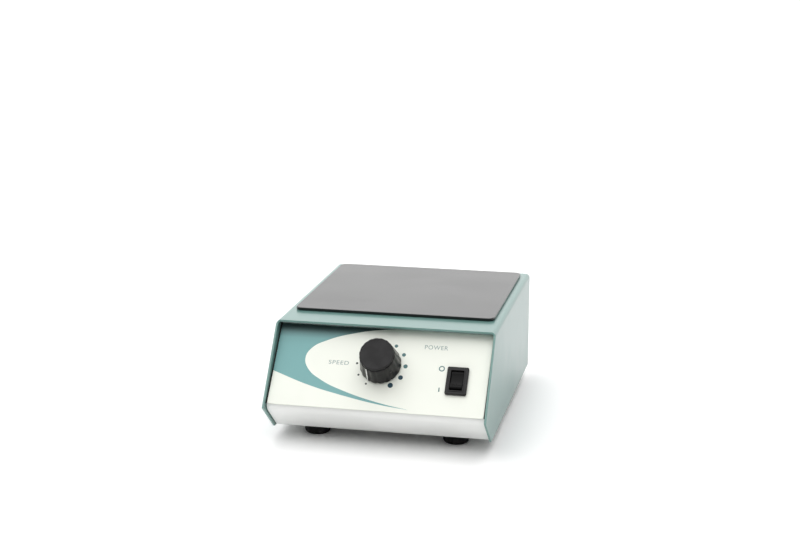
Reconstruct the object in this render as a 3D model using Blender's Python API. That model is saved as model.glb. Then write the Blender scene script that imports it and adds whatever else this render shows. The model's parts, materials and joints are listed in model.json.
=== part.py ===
"""Compact magnetic stirrer with a folded steel cover, a leaning control panel and a spinning magnet yoke.

The frame is +Z up with the front facing -Y. The origin lies on the bench under the middle of the body.
Run with: blender --background --python part.py
"""

import math

import bmesh
import bpy
from mathutils import Matrix, Vector

MM = 0.001

# General fits
GAP = 0.3 * MM                 # between pieces that touch
WELD = 0.001 * MM              # vertices closer than this are one
SHARP_ANGLE = math.radians(35)
BEND_STEPS = 5                 # straight lengths in one folded corner

# Cover: one folded sheet that makes the top and both sides
COVER_WIDTH = 160 * MM
COVER_DEPTH = 214 * MM
COVER_HEIGHT = 76 * MM
COVER_SHEET = 1.6 * MM
COVER_BEND = 3.2 * MM
COVER_LIFT = 8 * MM            # lower edge above the bench
NOSE_HEIGHT = 22 * MM          # foremost corner above the lower edge
TOP_SETBACK = 40 * MM          # top front edge behind the nose
BOTTOM_SETBACK = 26 * MM       # lower front corner behind the nose
TAB_WIDTH = 12 * MM
TAB_REACH = 12 * MM
TAB_HEIGHT = 11 * MM
TAB_SCREW_IN = 7.4 * MM        # screw to the cover wall
TAB_FRONT = 57 * MM            # front tabs behind the nose
TAB_REAR = 26 * MM             # rear tabs ahead of the cover's rear edge
EMBED = 0.5 * MM               # depth that a joined block shares with its sheet

# Chassis: base, chin, control panel, rear wall and two stiffening lips in one sheet
CHASSIS_SHEET = 1.5 * MM
SIDE_GAP = 0.4 * MM            # chassis edge to cover wall
ROOF_GAP = 1 * MM              # chassis lips to the cover's underside, clear of its bends
CHASSIS_LIFT = 0.5 * MM        # base above the cover's lower edge
PANEL_NOSE_RECESS = 2.7 * MM   # panel corner behind the cover's nose
PANEL_NOSE_LIFT = 0.5 * MM
PANEL_TOP_RECESS = 7.8 * MM    # panel top behind the cover's top front edge
CHIN_RECESS = 2.5 * MM
REAR_RECESS = 6 * MM
LIP = 10 * MM
NOSE_BEND = 6 * MM
PAN_BEND = 3 * MM

# Printed overlay on the panel
OVERLAY_FILM = 0.3 * MM
OVERLAY_FOOT = 2.6 * MM        # lower edge above the panel corner
OVERLAY_SIDE = 0.5 * MM        # margin to the chassis edge
OVERLAY_TOP = 4 * MM           # margin to the panel's upper corner
OVERLAY_CORNER = 1.5 * MM

# Top plate
PLATE_SIDE_MARGIN = 6 * MM     # to the cover's sides
PLATE_FRONT_MARGIN = 27 * MM   # to the cover's top front edge
PLATE_THICKNESS = 2 * MM
PLATE_CORNER = 5 * MM
PLATE_REAR_MARGIN = 7 * MM

# Speed knob and potentiometer, on the panel's middle line
KNOB_UP = 37.8 * MM            # up the panel from its lower corner
KNOB_RADIUS = 14.9 * MM
KNOB_TOP_RADIUS = 12.6 * MM
KNOB_HEIGHT = 15.7 * MM
KNOB_LIFT = 0.7 * MM
KNOB_CAVITY = 9 * MM
KNOB_CAVITY_DEPTH = 5.2 * MM
KNOB_FLUTES = 18
FLUTE_DEPTH = 0.35 * MM
KNOB_EDGE = 0.7 * MM
CAP_RADIUS = 12.3 * MM
CAP_HEIGHT = 2 * MM
CAP_EDGE = 0.6 * MM
CAP_SPIGOT = 7.5 * MM
CAP_SPIGOT_DEPTH = 2.6 * MM
SHAFT_RADIUS = 3 * MM
SHAFT_TO_CAP = 1.8 * MM         # shaft end to the cap's spigot
COLLET_WALL = 0.9 * MM
COLLET_TO_CAP = 2.1 * MM        # collet to the cap's spigot
BUSHING_RADIUS = 4.75 * MM
BUSHING_REACH = 5 * MM
POT_RADIUS = 12 * MM
POT_DEPTH = 9 * MM
POT_BACK_WALL = 2 * MM
LUG_WIDTH = 2 * MM
LUG_THICKNESS = 0.8 * MM
LUG_LENGTH = 6 * MM
LUG_PITCH = 5 * MM
LUG_LIFT = 3 * MM              # lugs above the back of the can
SHAFT_FLAT_DEPTH = 0.9 * MM
SHAFT_FLAT_START = 6 * MM      # flat begins this far outside the panel
NUT_WELL_RADIUS = 7.5 * MM     # hole in the overlay round the nut
NUT_ACROSS = 12 * MM
NUT_THICKNESS = 2.2 * MM

# Rocker switch
SWITCH_SIDE = 14.6 * MM         # bezel edge to the chassis edge
SWITCH_UP = 28.8 * MM
BEZEL_WIDTH = 15.2 * MM
BEZEL_HEIGHT = 20.9 * MM
BEZEL_THICKNESS = 2 * MM
BEZEL_CORNER = 1.2 * MM
SWITCH_BODY_WIDTH = 12.8 * MM
SWITCH_BODY_HEIGHT = 18.6 * MM
SWITCH_BODY_DEPTH = 17 * MM
WINDOW_WIDTH = 9.4 * MM
WINDOW_HEIGHT = 15.2 * MM
WINDOW_DEPTH = 10 * MM
ROCKER_PIVOT = 1.2 * MM        # below the panel face
ROCKER_FOOT = 5.5 * MM
ROCKER_DISH = 1.2 * MM
ROCKER_TILT = math.radians(9)
ROCKER_RIM_ANGLES = (math.radians(-15), math.radians(32))
ROCKER_RIM_STEPS = 6
TERMINAL_WIDTH = 4.8 * MM
TERMINAL_THICKNESS = 0.8 * MM
TERMINAL_LENGTH = 7 * MM
TERMINAL_PITCH = 9 * MM

# Mains inlet with a fuse drawer, in the rear wall
INLET_SIDE = 10 * MM           # flange edge to the cover's side
INLET_HEIGHT = 38 * MM         # centre above the base
FLANGE_WIDTH = 50 * MM
FLANGE_HEIGHT = 34 * MM
FLANGE_THICKNESS = 2.5 * MM
FLANGE_CORNER = 4 * MM
INLET_BODY_WIDTH = 28 * MM
INLET_BODY_HEIGHT = 29.4 * MM
INLET_BODY_DEPTH = 26 * MM
SOCKET_WIDTH = 24.4 * MM
SOCKET_HEIGHT = 16.4 * MM
SOCKET_DEPTH = 16 * MM
SOCKET_UP = 5.2 * MM
SOCKET_CHAMFER = 4.5 * MM
PIN_WIDTH = 2 * MM
PIN_HEIGHT = 4 * MM
PIN_LENGTH = 13.5 * MM
PIN_PITCH = 7 * MM
PIN_STAGGER = 4 * MM
DRAWER_WIDTH = 22 * MM
DRAWER_HEIGHT = 7.2 * MM
DRAWER_DEPTH = 24 * MM
DRAWER_DOWN = 8.9 * MM
DRAWER_LIP = 1.4 * MM
FUSE_RADIUS = 2.6 * MM
FUSE_LENGTH = 20 * MM
FUSE_OFFSET = 5 * MM
INLET_SCREW_PITCH = 40 * MM
INLET_SCREW_LENGTH = 8 * MM
VENT_COUNT = 8
VENT_WIDTH = 2.5 * MM
VENT_LENGTH = 24 * MM
VENT_PITCH = 6 * MM
VENT_SIDE = 42 * MM            # middle of the vents to the chassis edge
BASE_VENT_COUNT = 5

# Feet
FOOT_RADIUS = 9.6 * MM
FOOT_TAPER = 0.9 * MM
FOOT_INSET = 28.5 * MM         # foot centre to the cover's side
FOOT_FRONT = 44.5 * MM         # front feet behind the nose
FOOT_REAR = 20 * MM            # rear feet ahead of the cover's rear edge
FOOT_WELL_RADIUS = 4.8 * MM
FOOT_WELL_DEPTH = 3.4 * MM

# Rotor: motor shaft, yoke and two magnets under the middle of the top plate
YOKE_LENGTH = 66 * MM
YOKE_WIDTH = 18 * MM
YOKE_THICKNESS = 5 * MM
YOKE_CORNER = 4 * MM
SHAFT_DROP = 1 * MM            # shaft end below the yoke's top
HUB_RADIUS = 7.5 * MM
HUB_LENGTH = 9 * MM
MAGNET_RADIUS = 7 * MM
MAGNET_HEIGHT = 6 * MM
MAGNET_PITCH = 48 * MM
MAGNET_EDGE = 0.4 * MM
MAGNET_CLEARANCE = 2.1 * MM    # magnets to the cover's underside
MOTOR_SHAFT_RADIUS = 2.5 * MM
HUB_CLEARANCE = 3 * MM         # hub to the bracket
MOTOR_RADIUS = 18.5 * MM
MOTOR_BOSS_RADIUS = 6.5 * MM
MOTOR_BOSS_HEIGHT = 1.6 * MM
MOTOR_EDGE = 1 * MM
MOTOR_FLOOR_WALL = 3 * MM      # solid under the shaft's bore
MOTOR_SCREW_BORE = 8 * MM
MOTOR_SCREW_GRIP = 5 * MM      # screw length inside the case
MOTOR_FLOOR = 10 * MM          # end cap above the base
END_CAP_THICKNESS = 3 * MM
END_CAP_STEP = 1.2 * MM
MOTOR_SCREW_PITCH = 25 * MM
BRACKET_SHEET = 2 * MM
BRACKET_SPAN = 62 * MM
BRACKET_FLANGE = 15 * MM
BRACKET_DEPTH = 40 * MM
BRACKET_BEND = 3 * MM
BRACKET_SCREW_INSET = 7.5 * MM
BRACKET_SCREW_LENGTH = 7 * MM

# Control board
BOARD_WIDTH = 70 * MM
BOARD_DEPTH = 50 * MM
BOARD_THICKNESS = 1.6 * MM
BOARD_LIFT = 6 * MM
BOARD_SIDE_GAP = 1.5 * MM      # board edge to the cover's tabs
BOARD_NOSE_GAP = 51 * MM       # board front behind the nose
BOARD_HOLE_INSET = 4 * MM
SUPPORT_RADIUS = 3 * MM
SUPPORT_NECK = 1.3 * MM
SUPPORT_HEAD = 1.9 * MM
SUPPORT_SNAP = 1.6 * MM        # snap head above the board
CORE_SIZE = (34 * MM, 28 * MM, 20 * MM)
CORE_LIFT = 4 * MM
COIL_SIZE = (22 * MM, 36 * MM, 20 * MM)
TRANSFORMER_PLACE = (-14 * MM, -3 * MM)     # each part from the board's middle
CAPACITOR_RADIUS = 6.3 * MM
CAPACITOR_HEIGHT = 21 * MM
CAPACITOR_EDGE = 0.8 * MM
CAPACITOR_PLACE = (15 * MM, 12 * MM)
BLOCK_SIZE = (24 * MM, 8 * MM, 10 * MM)
BLOCK_PLACE = (-14 * MM, 20.5 * MM)
BLOCK_WAYS = 4
BLOCK_PITCH = 5.5 * MM
BLOCK_WELL_RADIUS = 1.6 * MM
BLOCK_WELL_DEPTH = 6 * MM

# Earth stud, on the base beside the inlet
STUD_RADIUS = 2 * MM
STUD_FLANGE_RADIUS = 4.5 * MM
STUD_FLANGE_HEIGHT = 1 * MM
STUD_HEIGHT = 12 * MM
STUD_SIDE = 16 * MM            # from the chassis edge
STUD_BEHIND = 6 * MM           # behind the motor bracket

# Screws: shank radius, head radius, head height
SCREW_M3 = (1.5 * MM, 2.8 * MM, 1.8 * MM)
SCREW_M4 = (2.0 * MM, 3.8 * MM, 2.2 * MM)
COVER_SCREW_LENGTH = 6 * MM
FOOT_SCREW_LENGTH = 11 * MM
PRESS_NUT_HEIGHT = 3 * MM
PRESS_NUT_RADIUS = 4.2 * MM
WIRE_RADIUS = 1.2 * MM

# Heights and places worked out from the sizes above
BASE_UNDER = COVER_LIFT + CHASSIS_LIFT
BASE_TOP = BASE_UNDER + CHASSIS_SHEET
COVER_TOP = COVER_LIFT + COVER_HEIGHT
COVER_UNDER = COVER_TOP - COVER_SHEET
CHASSIS_TOP = COVER_UNDER - ROOF_GAP
NOSE_Y = -COVER_DEPTH / 2
REAR_Y = COVER_DEPTH / 2
REAR_WALL_Y = REAR_Y - REAR_RECESS
CHASSIS_HALF = COVER_WIDTH / 2 - COVER_SHEET - SIDE_GAP
PANEL_Y = NOSE_Y + PANEL_NOSE_RECESS
PANEL_Z = COVER_LIFT + NOSE_HEIGHT + PANEL_NOSE_LIFT
FACE_TO_PANEL = OVERLAY_FILM + GAP      # overlay's face to the sheet under it
PANEL_TOP_Y = NOSE_Y + TOP_SETBACK + PANEL_TOP_RECESS
PANEL_LEAN = math.atan2(PANEL_TOP_Y - PANEL_Y, CHASSIS_TOP - PANEL_Z)
PANEL_LENGTH = math.hypot(PANEL_TOP_Y - PANEL_Y, CHASSIS_TOP - PANEL_Z)
SPIGOT_FOOT = KNOB_LIFT + KNOB_HEIGHT - CAP_SPIGOT_DEPTH
SHAFT_REACH = SPIGOT_FOOT - SHAFT_TO_CAP
SWITCH_RIGHT = CHASSIS_HALF - SWITCH_SIDE - BEZEL_WIDTH / 2
INLET_RIGHT = COVER_WIDTH / 2 - INLET_SIDE - FLANGE_WIDTH / 2
VENT_MIDDLE = VENT_SIDE - CHASSIS_HALF
PLATE_WIDTH = COVER_WIDTH - 2 * PLATE_SIDE_MARGIN
PLATE_DEPTH = COVER_DEPTH - TOP_SETBACK - PLATE_FRONT_MARGIN - PLATE_REAR_MARGIN
PLATE_Y = REAR_Y - PLATE_REAR_MARGIN - PLATE_DEPTH / 2
ROTOR_Y = PLATE_Y
MAGNET_TOP = COVER_UNDER - MAGNET_CLEARANCE
YOKE_TOP = MAGNET_TOP - MAGNET_HEIGHT - GAP
HUB_BOTTOM = YOKE_TOP - YOKE_THICKNESS - HUB_LENGTH
BRACKET_TOP = HUB_BOTTOM - HUB_CLEARANCE
MOTOR_TOP = BRACKET_TOP - BRACKET_SHEET - GAP
CAP_BOTTOM = BASE_TOP + MOTOR_FLOOR
MOTOR_BOTTOM = CAP_BOTTOM + END_CAP_THICKNESS + GAP
BOARD_RIGHT = BOARD_SIDE_GAP + TAB_REACH + COVER_SHEET - COVER_WIDTH / 2 + BOARD_WIDTH / 2
BOARD_BACK = NOSE_Y + BOARD_NOSE_GAP + BOARD_DEPTH / 2
BOARD_UNDER = BASE_TOP + BOARD_LIFT
BOARD_TOP = BOARD_UNDER + BOARD_THICKNESS
FOOT_SIDE = COVER_WIDTH / 2 - FOOT_INSET
STUD = (CHASSIS_HALF - STUD_SIDE, ROTOR_Y + BRACKET_DEPTH / 2 + STUD_BEHIND)
FEET = {
    "front_left": (-FOOT_SIDE, NOSE_Y + FOOT_FRONT),
    "front_right": (FOOT_SIDE, NOSE_Y + FOOT_FRONT),
    "rear_left": (-FOOT_SIDE, REAR_Y - FOOT_REAR),
    "rear_right": (FOOT_SIDE, REAR_Y - FOOT_REAR),
}
TAB_X = COVER_WIDTH / 2 - COVER_SHEET - TAB_SCREW_IN
TABS = {
    "front_left": (-TAB_X, NOSE_Y + TAB_FRONT),
    "front_right": (TAB_X, NOSE_Y + TAB_FRONT),
    "rear_left": (-TAB_X, REAR_Y - TAB_REAR),
    "rear_right": (TAB_X, REAR_Y - TAB_REAR),
}
BRACKET_SCREW_X = BRACKET_SPAN / 2 + BRACKET_FLANGE - BRACKET_SCREW_INSET

# Finishes: colour, roughness, metallic
FINISHES = {
    "teal_paint": ((0.15, 0.28, 0.27), 0.35, 0.0),
    "white_paint": ((0.86, 0.87, 0.85), 0.4, 0.0),
    "overlay_print": ((0.78, 0.84, 0.82), 0.45, 0.0),
    "black_gloss": ((0.03, 0.03, 0.032), 0.2, 0.0),
    "black_plastic": ((0.035, 0.035, 0.036), 0.5, 0.0),
    "rubber": ((0.02, 0.02, 0.02), 0.75, 0.0),
    "steel": ((0.62, 0.62, 0.6), 0.35, 1.0),
    "zinc": ((0.66, 0.67, 0.68), 0.4, 1.0),
    "brass": ((0.72, 0.55, 0.26), 0.3, 1.0),
    "aluminium": ((0.76, 0.77, 0.78), 0.35, 1.0),
    "magnet": ((0.55, 0.56, 0.57), 0.25, 1.0),
    "board": ((0.05, 0.22, 0.1), 0.5, 0.0),
    "nylon": ((0.82, 0.81, 0.76), 0.55, 0.0),
    "glass": ((0.8, 0.84, 0.85), 0.1, 0.0),
    "blue_sleeve": ((0.03, 0.09, 0.35), 0.4, 0.0),
    "green_block": ((0.04, 0.3, 0.14), 0.5, 0.0),
    "brown_wire": ((0.2, 0.08, 0.04), 0.45, 0.0),
    "red_wire": ((0.5, 0.03, 0.03), 0.45, 0.0),
    "grey_wire": ((0.3, 0.3, 0.3), 0.45, 0.0),
    "earth_wire": ((0.2, 0.42, 0.05), 0.45, 0.0),
}


def clear_scene():
    """Remove whatever the scene already holds."""
    for item in list(bpy.data.objects):
        bpy.data.objects.remove(item, do_unlink=True)


def add_frame(name, location, rotation=(0, 0, 0), parent=None):
    """An empty that carries a group of pieces."""
    frame = bpy.data.objects.new(name, None)
    bpy.context.collection.objects.link(frame)
    frame.parent = parent
    frame.location = location
    frame.rotation_euler = rotation
    return frame


def add_piece(name, bm, finish, parent=None, location=(0, 0, 0), rotation=(0, 0, 0)):
    """Turn a bmesh into a named object with its own material."""
    bmesh.ops.remove_doubles(bm, verts=bm.verts, dist=WELD)
    bmesh.ops.recalc_face_normals(bm, faces=bm.faces)
    mesh = bpy.data.meshes.new(name)
    bm.to_mesh(mesh)
    bm.free()
    mesh.shade_smooth()
    mesh.set_sharp_from_angle(angle=SHARP_ANGLE)
    material = bpy.data.materials.new(name + "_" + finish)
    material.use_nodes = True
    shader = material.node_tree.nodes["Principled BSDF"]
    colour, roughness, metallic = FINISHES[finish]
    shader.inputs["Base Color"].default_value = (*colour, 1.0)
    shader.inputs["Roughness"].default_value = roughness
    shader.inputs["Metallic"].default_value = metallic
    mesh.materials.append(material)
    item = bpy.data.objects.new(name, mesh)
    bpy.context.collection.objects.link(item)
    item.parent = parent
    item.location = location
    item.rotation_euler = rotation
    return item


def shape_with(target, bm, operation, parent=None, location=(0, 0, 0), rotation=(0, 0, 0)):
    """Cut a target with a hidden tool, or join the tool to it."""
    name = target.name + "_" + operation.lower() + "_tool"
    tool = add_piece(name, bm, "steel", parent, location, rotation)
    tool.hide_render = True
    tool.display_type = "WIRE"
    modifier = target.modifiers.new(name, "BOOLEAN")
    modifier.operation = operation
    modifier.solver = "EXACT"
    modifier.object = tool
    return tool


def add_block(bm, low, high):
    """A box between two corners."""
    low, high = Vector(low), Vector(high)
    scale = Matrix.Diagonal((*(high - low), 1.0))
    bmesh.ops.create_cube(bm, size=1.0, matrix=Matrix.Translation((low + high) / 2) @ scale)


def add_drum(bm, radius, low, high, centre=(0, 0), steps=24):
    """An upright cylinder between two heights."""
    middle = Matrix.Translation((centre[0], centre[1], (low + high) / 2))
    bmesh.ops.create_cone(bm, cap_ends=True, segments=steps, radius1=radius, radius2=radius,
                          depth=high - low, matrix=middle)


def add_turned(bm, profile, steps=32):
    """A turned shape: (radius, height) points spun about Z, solid where they start and end on the axis."""
    verts = [bm.verts.new((radius, 0, height)) for radius, height in profile]
    solid = profile[0][0] == 0 and profile[-1][0] == 0
    ends = verts[1:] if solid else verts[1:] + verts[:1]
    edges = [bm.edges.new(pair) for pair in zip(verts, ends)]
    bmesh.ops.spin(bm, geom=verts + edges, cent=(0, 0, 0), axis=(0, 0, 1), angle=math.tau,
                   steps=steps, use_merge=True)


def in_yz(a, b, depth):
    return Vector((depth, a, b))


def in_xz(a, b, depth):
    return Vector((a, depth, b))


def in_xy(a, b, depth):
    return Vector((a, b, depth))


def add_prism(bm, outline, low, high, plane):
    """A closed outline in a plane, extruded between two depths."""
    face = bm.faces.new([bm.verts.new(plane(a, b, low)) for a, b in outline])
    grown = bmesh.ops.extrude_face_region(bm, geom=[face])
    moved = [item for item in grown["geom"] if isinstance(item, bmesh.types.BMVert)]
    bmesh.ops.translate(bm, verts=moved, vec=plane(0, 0, high) - plane(0, 0, low))


def rounded_rectangle(width, height, radius, steps=4, centre=(0, 0)):
    """Corner points of a rectangle with round corners, in turn round it."""
    points = []
    for quarter, (side, rise) in enumerate(((1, 1), (-1, 1), (-1, -1), (1, -1))):
        for step in range(steps + 1):
            angle = math.pi / 2 * (quarter + step / steps)
            across = centre[0] + side * (width / 2 - radius) + radius * math.cos(angle)
            up = centre[1] + rise * (height / 2 - radius) + radius * math.sin(angle)
            points.append((across, up))
    return points


def bent_strip(points, radii, thickness):
    """Section of a folded sheet whose left side lies one thickness from a path with round corners."""
    points = [Vector(point) for point in points]

    def left_of(direction):
        return Vector((-direction.y, direction.x))

    first = (points[1] - points[0]).normalized()
    last = (points[-1] - points[-2]).normalized()
    near = [points[0]]
    far = [points[0] + left_of(first) * thickness]
    for before, corner, after, radius in zip(points, points[1:], points[2:], radii):
        into = (corner - before).normalized()
        out = (after - corner).normalized()
        turn = math.atan2(into.x * out.y - into.y * out.x, into.dot(out))
        side = math.copysign(1, turn)
        centre = corner - into * radius * math.tan(abs(turn) / 2) + left_of(into) * radius * side
        for step in range(BEND_STEPS + 1):
            spoke = Matrix.Rotation(turn * step / BEND_STEPS, 2) @ (-left_of(into) * side)
            near.append(centre + spoke * radius)
            far.append(centre + spoke * (radius - side * thickness))
    near.append(points[-1])
    far.append(points[-1] + left_of(last) * thickness)
    return near + far[::-1]


def hexagon(across):
    """Corners of a hexagon from its width across flats."""
    reach = across / 2 / math.cos(math.pi / 6)
    return [(reach * math.cos(math.pi / 3 * k), reach * math.sin(math.pi / 3 * k)) for k in range(6)]


def add_screw(name, size, length, parent=None, location=(0, 0, 0), rotation=(0, 0, 0)):
    """A pan head screw whose head stands on the origin plane, with its shank along -Z."""
    shank, head, rise = size
    bm = bmesh.new()
    shoulder = rise / 2
    profile = [(0, rise), (head - shoulder, rise), (head, shoulder), (head, 0), (shank, 0),
               (shank, -length), (0, -length)]
    add_turned(bm, profile, steps=12)
    return add_piece(name, bm, "zinc", parent, location, rotation)


def add_flush_screw(name, size, length, parent, location):
    """A countersunk screw whose flat top lies on the origin plane, with its shank along -Z."""
    shank, head, rise = size
    bm = bmesh.new()
    add_turned(bm, [(0, 0), (head, 0), (shank, -rise), (shank, -length), (0, -length)], steps=16)
    return add_piece(name, bm, "zinc", parent, location)


def add_sink(bm, size, top, depth, place):
    """A countersunk hole, wider than its screw by the same clearance all the way down."""
    shank, head, rise = size
    lip = head + 2 * GAP
    foot = shank + GAP
    cone = (lip - foot) * rise / (head - shank)
    profile = [(0, top - depth), (foot, top - depth), (foot, top - cone), (lip, top), (lip, top + rise),
               (0, top + rise)]
    before = set(bm.verts)
    add_turned(bm, profile, steps=16)
    moved = [vert for vert in bm.verts if vert not in before]
    bmesh.ops.translate(bm, verts=moved, vec=(place[0], place[1], 0))


# ---------------------------------------------------------------- shell


def cover_front_tool():
    """The space ahead of the cover's slanted front edges."""
    lead = 30 * MM
    nose = Vector((NOSE_Y, COVER_LIFT + NOSE_HEIGHT))
    top = Vector((NOSE_Y + TOP_SETBACK, COVER_TOP))
    bottom = Vector((NOSE_Y + BOTTOM_SETBACK, COVER_LIFT))
    above = top + (top - nose).normalized() * lead
    below = bottom + (bottom - nose).normalized() * lead
    ahead = NOSE_Y - lead
    outline = [above, nose, below, Vector((ahead, below.y)), Vector((ahead, above.y))]
    bm = bmesh.new()
    add_prism(bm, outline, -COVER_WIDTH, COVER_WIDTH, in_yz)
    return bm


def make_cover():
    """Folded top and sides with slanted front edges and four screw tabs welded inside."""
    half = COVER_WIDTH / 2
    path = [(half, COVER_LIFT), (half, COVER_TOP), (-half, COVER_TOP), (-half, COVER_LIFT)]
    bm = bmesh.new()
    section = bent_strip(path, (COVER_BEND, COVER_BEND), COVER_SHEET)
    add_prism(bm, section, NOSE_Y, REAR_Y, in_xz)
    cover = add_piece("cover", bm, "teal_paint")
    shape_with(cover, cover_front_tool(), "DIFFERENCE")
    wall = half - COVER_SHEET
    floor = BASE_TOP + GAP
    tabs = bmesh.new()
    for x, y in TABS.values():
        side = math.copysign(1, x)
        outer, inner, tip = (side * (wall - inset) for inset in (-EMBED, COVER_SHEET, TAB_REACH))
        shelf = floor + COVER_SHEET
        outline = [(outer, floor), (outer, floor + TAB_HEIGHT), (inner, floor + TAB_HEIGHT), (inner, shelf),
                   (tip, shelf), (tip, floor)]
        add_prism(tabs, outline, y - TAB_WIDTH / 2, y + TAB_WIDTH / 2, in_xz)
    shape_with(cover, tabs, "UNION")
    holes = bmesh.new()
    for place in TABS.values():
        add_drum(holes, SCREW_M3[0] + GAP, BASE_TOP, floor + 3 * COVER_SHEET, place, 12)
    tool = shape_with(cover, holes, "DIFFERENCE")
    tool.name = "cover_tab_holes_tool"


def chassis_path():
    """Outer line of the chassis sheet, from the panel's upper lip round to the rear lip."""
    depth = Vector((math.cos(PANEL_LEAN), -math.sin(PANEL_LEAN))) * FACE_TO_PANEL
    sheet_nose = Vector((PANEL_Y, PANEL_Z)) + depth
    sheet_top_y = PANEL_TOP_Y + FACE_TO_PANEL / math.cos(PANEL_LEAN)
    chin_y = NOSE_Y + BOTTOM_SETBACK + CHIN_RECESS
    return [(sheet_top_y + LIP, CHASSIS_TOP), (sheet_top_y, CHASSIS_TOP), tuple(sheet_nose),
            (chin_y, BASE_UNDER), (REAR_WALL_Y, BASE_UNDER), (REAR_WALL_Y, CHASSIS_TOP),
            (REAR_WALL_Y - LIP, CHASSIS_TOP)]


def make_chassis(panel, inlet):
    """One sheet folded into base, chin, panel and rear wall, with press nuts, cut-outs and vents."""
    bm = bmesh.new()
    bends = (PAN_BEND, NOSE_BEND, PAN_BEND, PAN_BEND, PAN_BEND)
    section = bent_strip(chassis_path(), bends, CHASSIS_SHEET)
    add_prism(bm, section, -CHASSIS_HALF, CHASSIS_HALF, in_yz)
    chassis = add_piece("chassis", bm, "white_paint")

    nuts = bmesh.new()
    for place in FEET.values():
        add_drum(nuts, PRESS_NUT_RADIUS, BASE_TOP - EMBED, BASE_TOP + PRESS_NUT_HEIGHT, place, 16)
    shape_with(chassis, nuts, "UNION")

    base = bmesh.new()
    below, above = BASE_UNDER - CHASSIS_SHEET, BASE_TOP + 2 * PRESS_NUT_HEIGHT
    for place in FEET.values():
        add_drum(base, SCREW_M4[0] + GAP, below, above, place, 16)
    for place in TABS.values():
        add_drum(base, SCREW_M3[0] + GAP, below, above, place, 12)
    for side in (-1, 1):
        add_drum(base, SCREW_M4[0] + GAP, below, above, (side * BRACKET_SCREW_X, ROTOR_Y), 16)
    for index in range(BASE_VENT_COUNT):
        x = (index - (BASE_VENT_COUNT - 1) / 2) * VENT_PITCH
        add_block(base, (x - VENT_WIDTH / 2, ROTOR_Y - VENT_LENGTH / 2, below),
                  (x + VENT_WIDTH / 2, ROTOR_Y + VENT_LENGTH / 2, above))
    for index in range(VENT_COUNT):
        x = VENT_MIDDLE + (index - (VENT_COUNT - 1) / 2) * VENT_PITCH
        middle = BASE_TOP + INLET_HEIGHT
        add_block(base, (x - VENT_WIDTH / 2, REAR_WALL_Y - 3 * CHASSIS_SHEET, middle - VENT_LENGTH / 2),
                  (x + VENT_WIDTH / 2, REAR_WALL_Y + CHASSIS_SHEET, middle + VENT_LENGTH / 2))
    tool = shape_with(chassis, base, "DIFFERENCE")
    tool.name = "chassis_base_holes_tool"

    front = bmesh.new()
    reach = 4 * CHASSIS_SHEET
    add_drum(front, BUSHING_RADIUS + GAP, -reach, reach, (0, KNOB_UP), 24)
    width, height = SWITCH_BODY_WIDTH / 2 + GAP, SWITCH_BODY_HEIGHT / 2 + GAP
    add_block(front, (SWITCH_RIGHT - width, SWITCH_UP - height, -reach),
              (SWITCH_RIGHT + width, SWITCH_UP + height, reach))
    tool = shape_with(chassis, front, "DIFFERENCE", panel)
    tool.name = "chassis_panel_holes_tool"

    rear = bmesh.new()
    width, height = INLET_BODY_WIDTH / 2 + GAP, INLET_BODY_HEIGHT / 2 + GAP
    add_block(rear, (-width, -height, -reach), (width, height, reach))
    for side in (-1, 1):
        add_drum(rear, SCREW_M3[0] + GAP, -reach, reach, (side * INLET_SCREW_PITCH / 2, 0), 12)
    tool = shape_with(chassis, rear, "DIFFERENCE", inlet)
    tool.name = "chassis_inlet_holes_tool"


def make_overlay(panel):
    """Printed film on the control panel, cleared for the potentiometer's nut and the switch."""
    width = 2 * (CHASSIS_HALF - OVERLAY_SIDE)
    height = PANEL_LENGTH - OVERLAY_FOOT - OVERLAY_TOP
    bm = bmesh.new()
    outline = rounded_rectangle(width, height, OVERLAY_CORNER, 2, (0, OVERLAY_FOOT + height / 2))
    add_prism(bm, outline, -OVERLAY_FILM, 0, in_xy)
    overlay = add_piece("front_overlay", bm, "overlay_print", panel)
    cuts = bmesh.new()
    reach = 4 * OVERLAY_FILM
    add_drum(cuts, NUT_WELL_RADIUS, -reach, reach, (0, KNOB_UP), 24)
    half_width, half_height = SWITCH_BODY_WIDTH / 2 + GAP, SWITCH_BODY_HEIGHT / 2 + GAP
    add_block(cuts, (SWITCH_RIGHT - half_width, SWITCH_UP - half_height, -reach),
              (SWITCH_RIGHT + half_width, SWITCH_UP + half_height, reach))
    shape_with(overlay, cuts, "DIFFERENCE", panel)


def make_top_plate():
    """Black plate with round corners that the vessel stands on."""
    bm = bmesh.new()
    outline = rounded_rectangle(PLATE_WIDTH, PLATE_DEPTH, PLATE_CORNER, 6, (0, PLATE_Y))
    low = COVER_TOP + GAP
    add_prism(bm, outline, low, low + PLATE_THICKNESS, in_xy)
    add_piece("top_plate", bm, "black_gloss")


def make_feet():
    """Four rubber feet, each held by a screw into a press nut of the base."""
    height = BASE_UNDER - GAP
    bore = SCREW_M4[0] + GAP
    profile = [(bore, height), (FOOT_RADIUS, height), (FOOT_RADIUS, height - 2 * FOOT_TAPER),
               (FOOT_RADIUS - FOOT_TAPER, FOOT_TAPER), (FOOT_RADIUS - 2 * FOOT_TAPER, 0),
               (FOOT_WELL_RADIUS, 0), (FOOT_WELL_RADIUS, FOOT_WELL_DEPTH), (bore, FOOT_WELL_DEPTH)]
    for corner, (x, y) in FEET.items():
        bm = bmesh.new()
        add_turned(bm, profile, steps=28)
        add_piece("foot_" + corner, bm, "rubber", location=(x, y, 0))
        add_screw("foot_screw_" + corner, SCREW_M4, FOOT_SCREW_LENGTH, None,
                  (x, y, FOOT_WELL_DEPTH - GAP), (math.pi, 0, 0))


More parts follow.
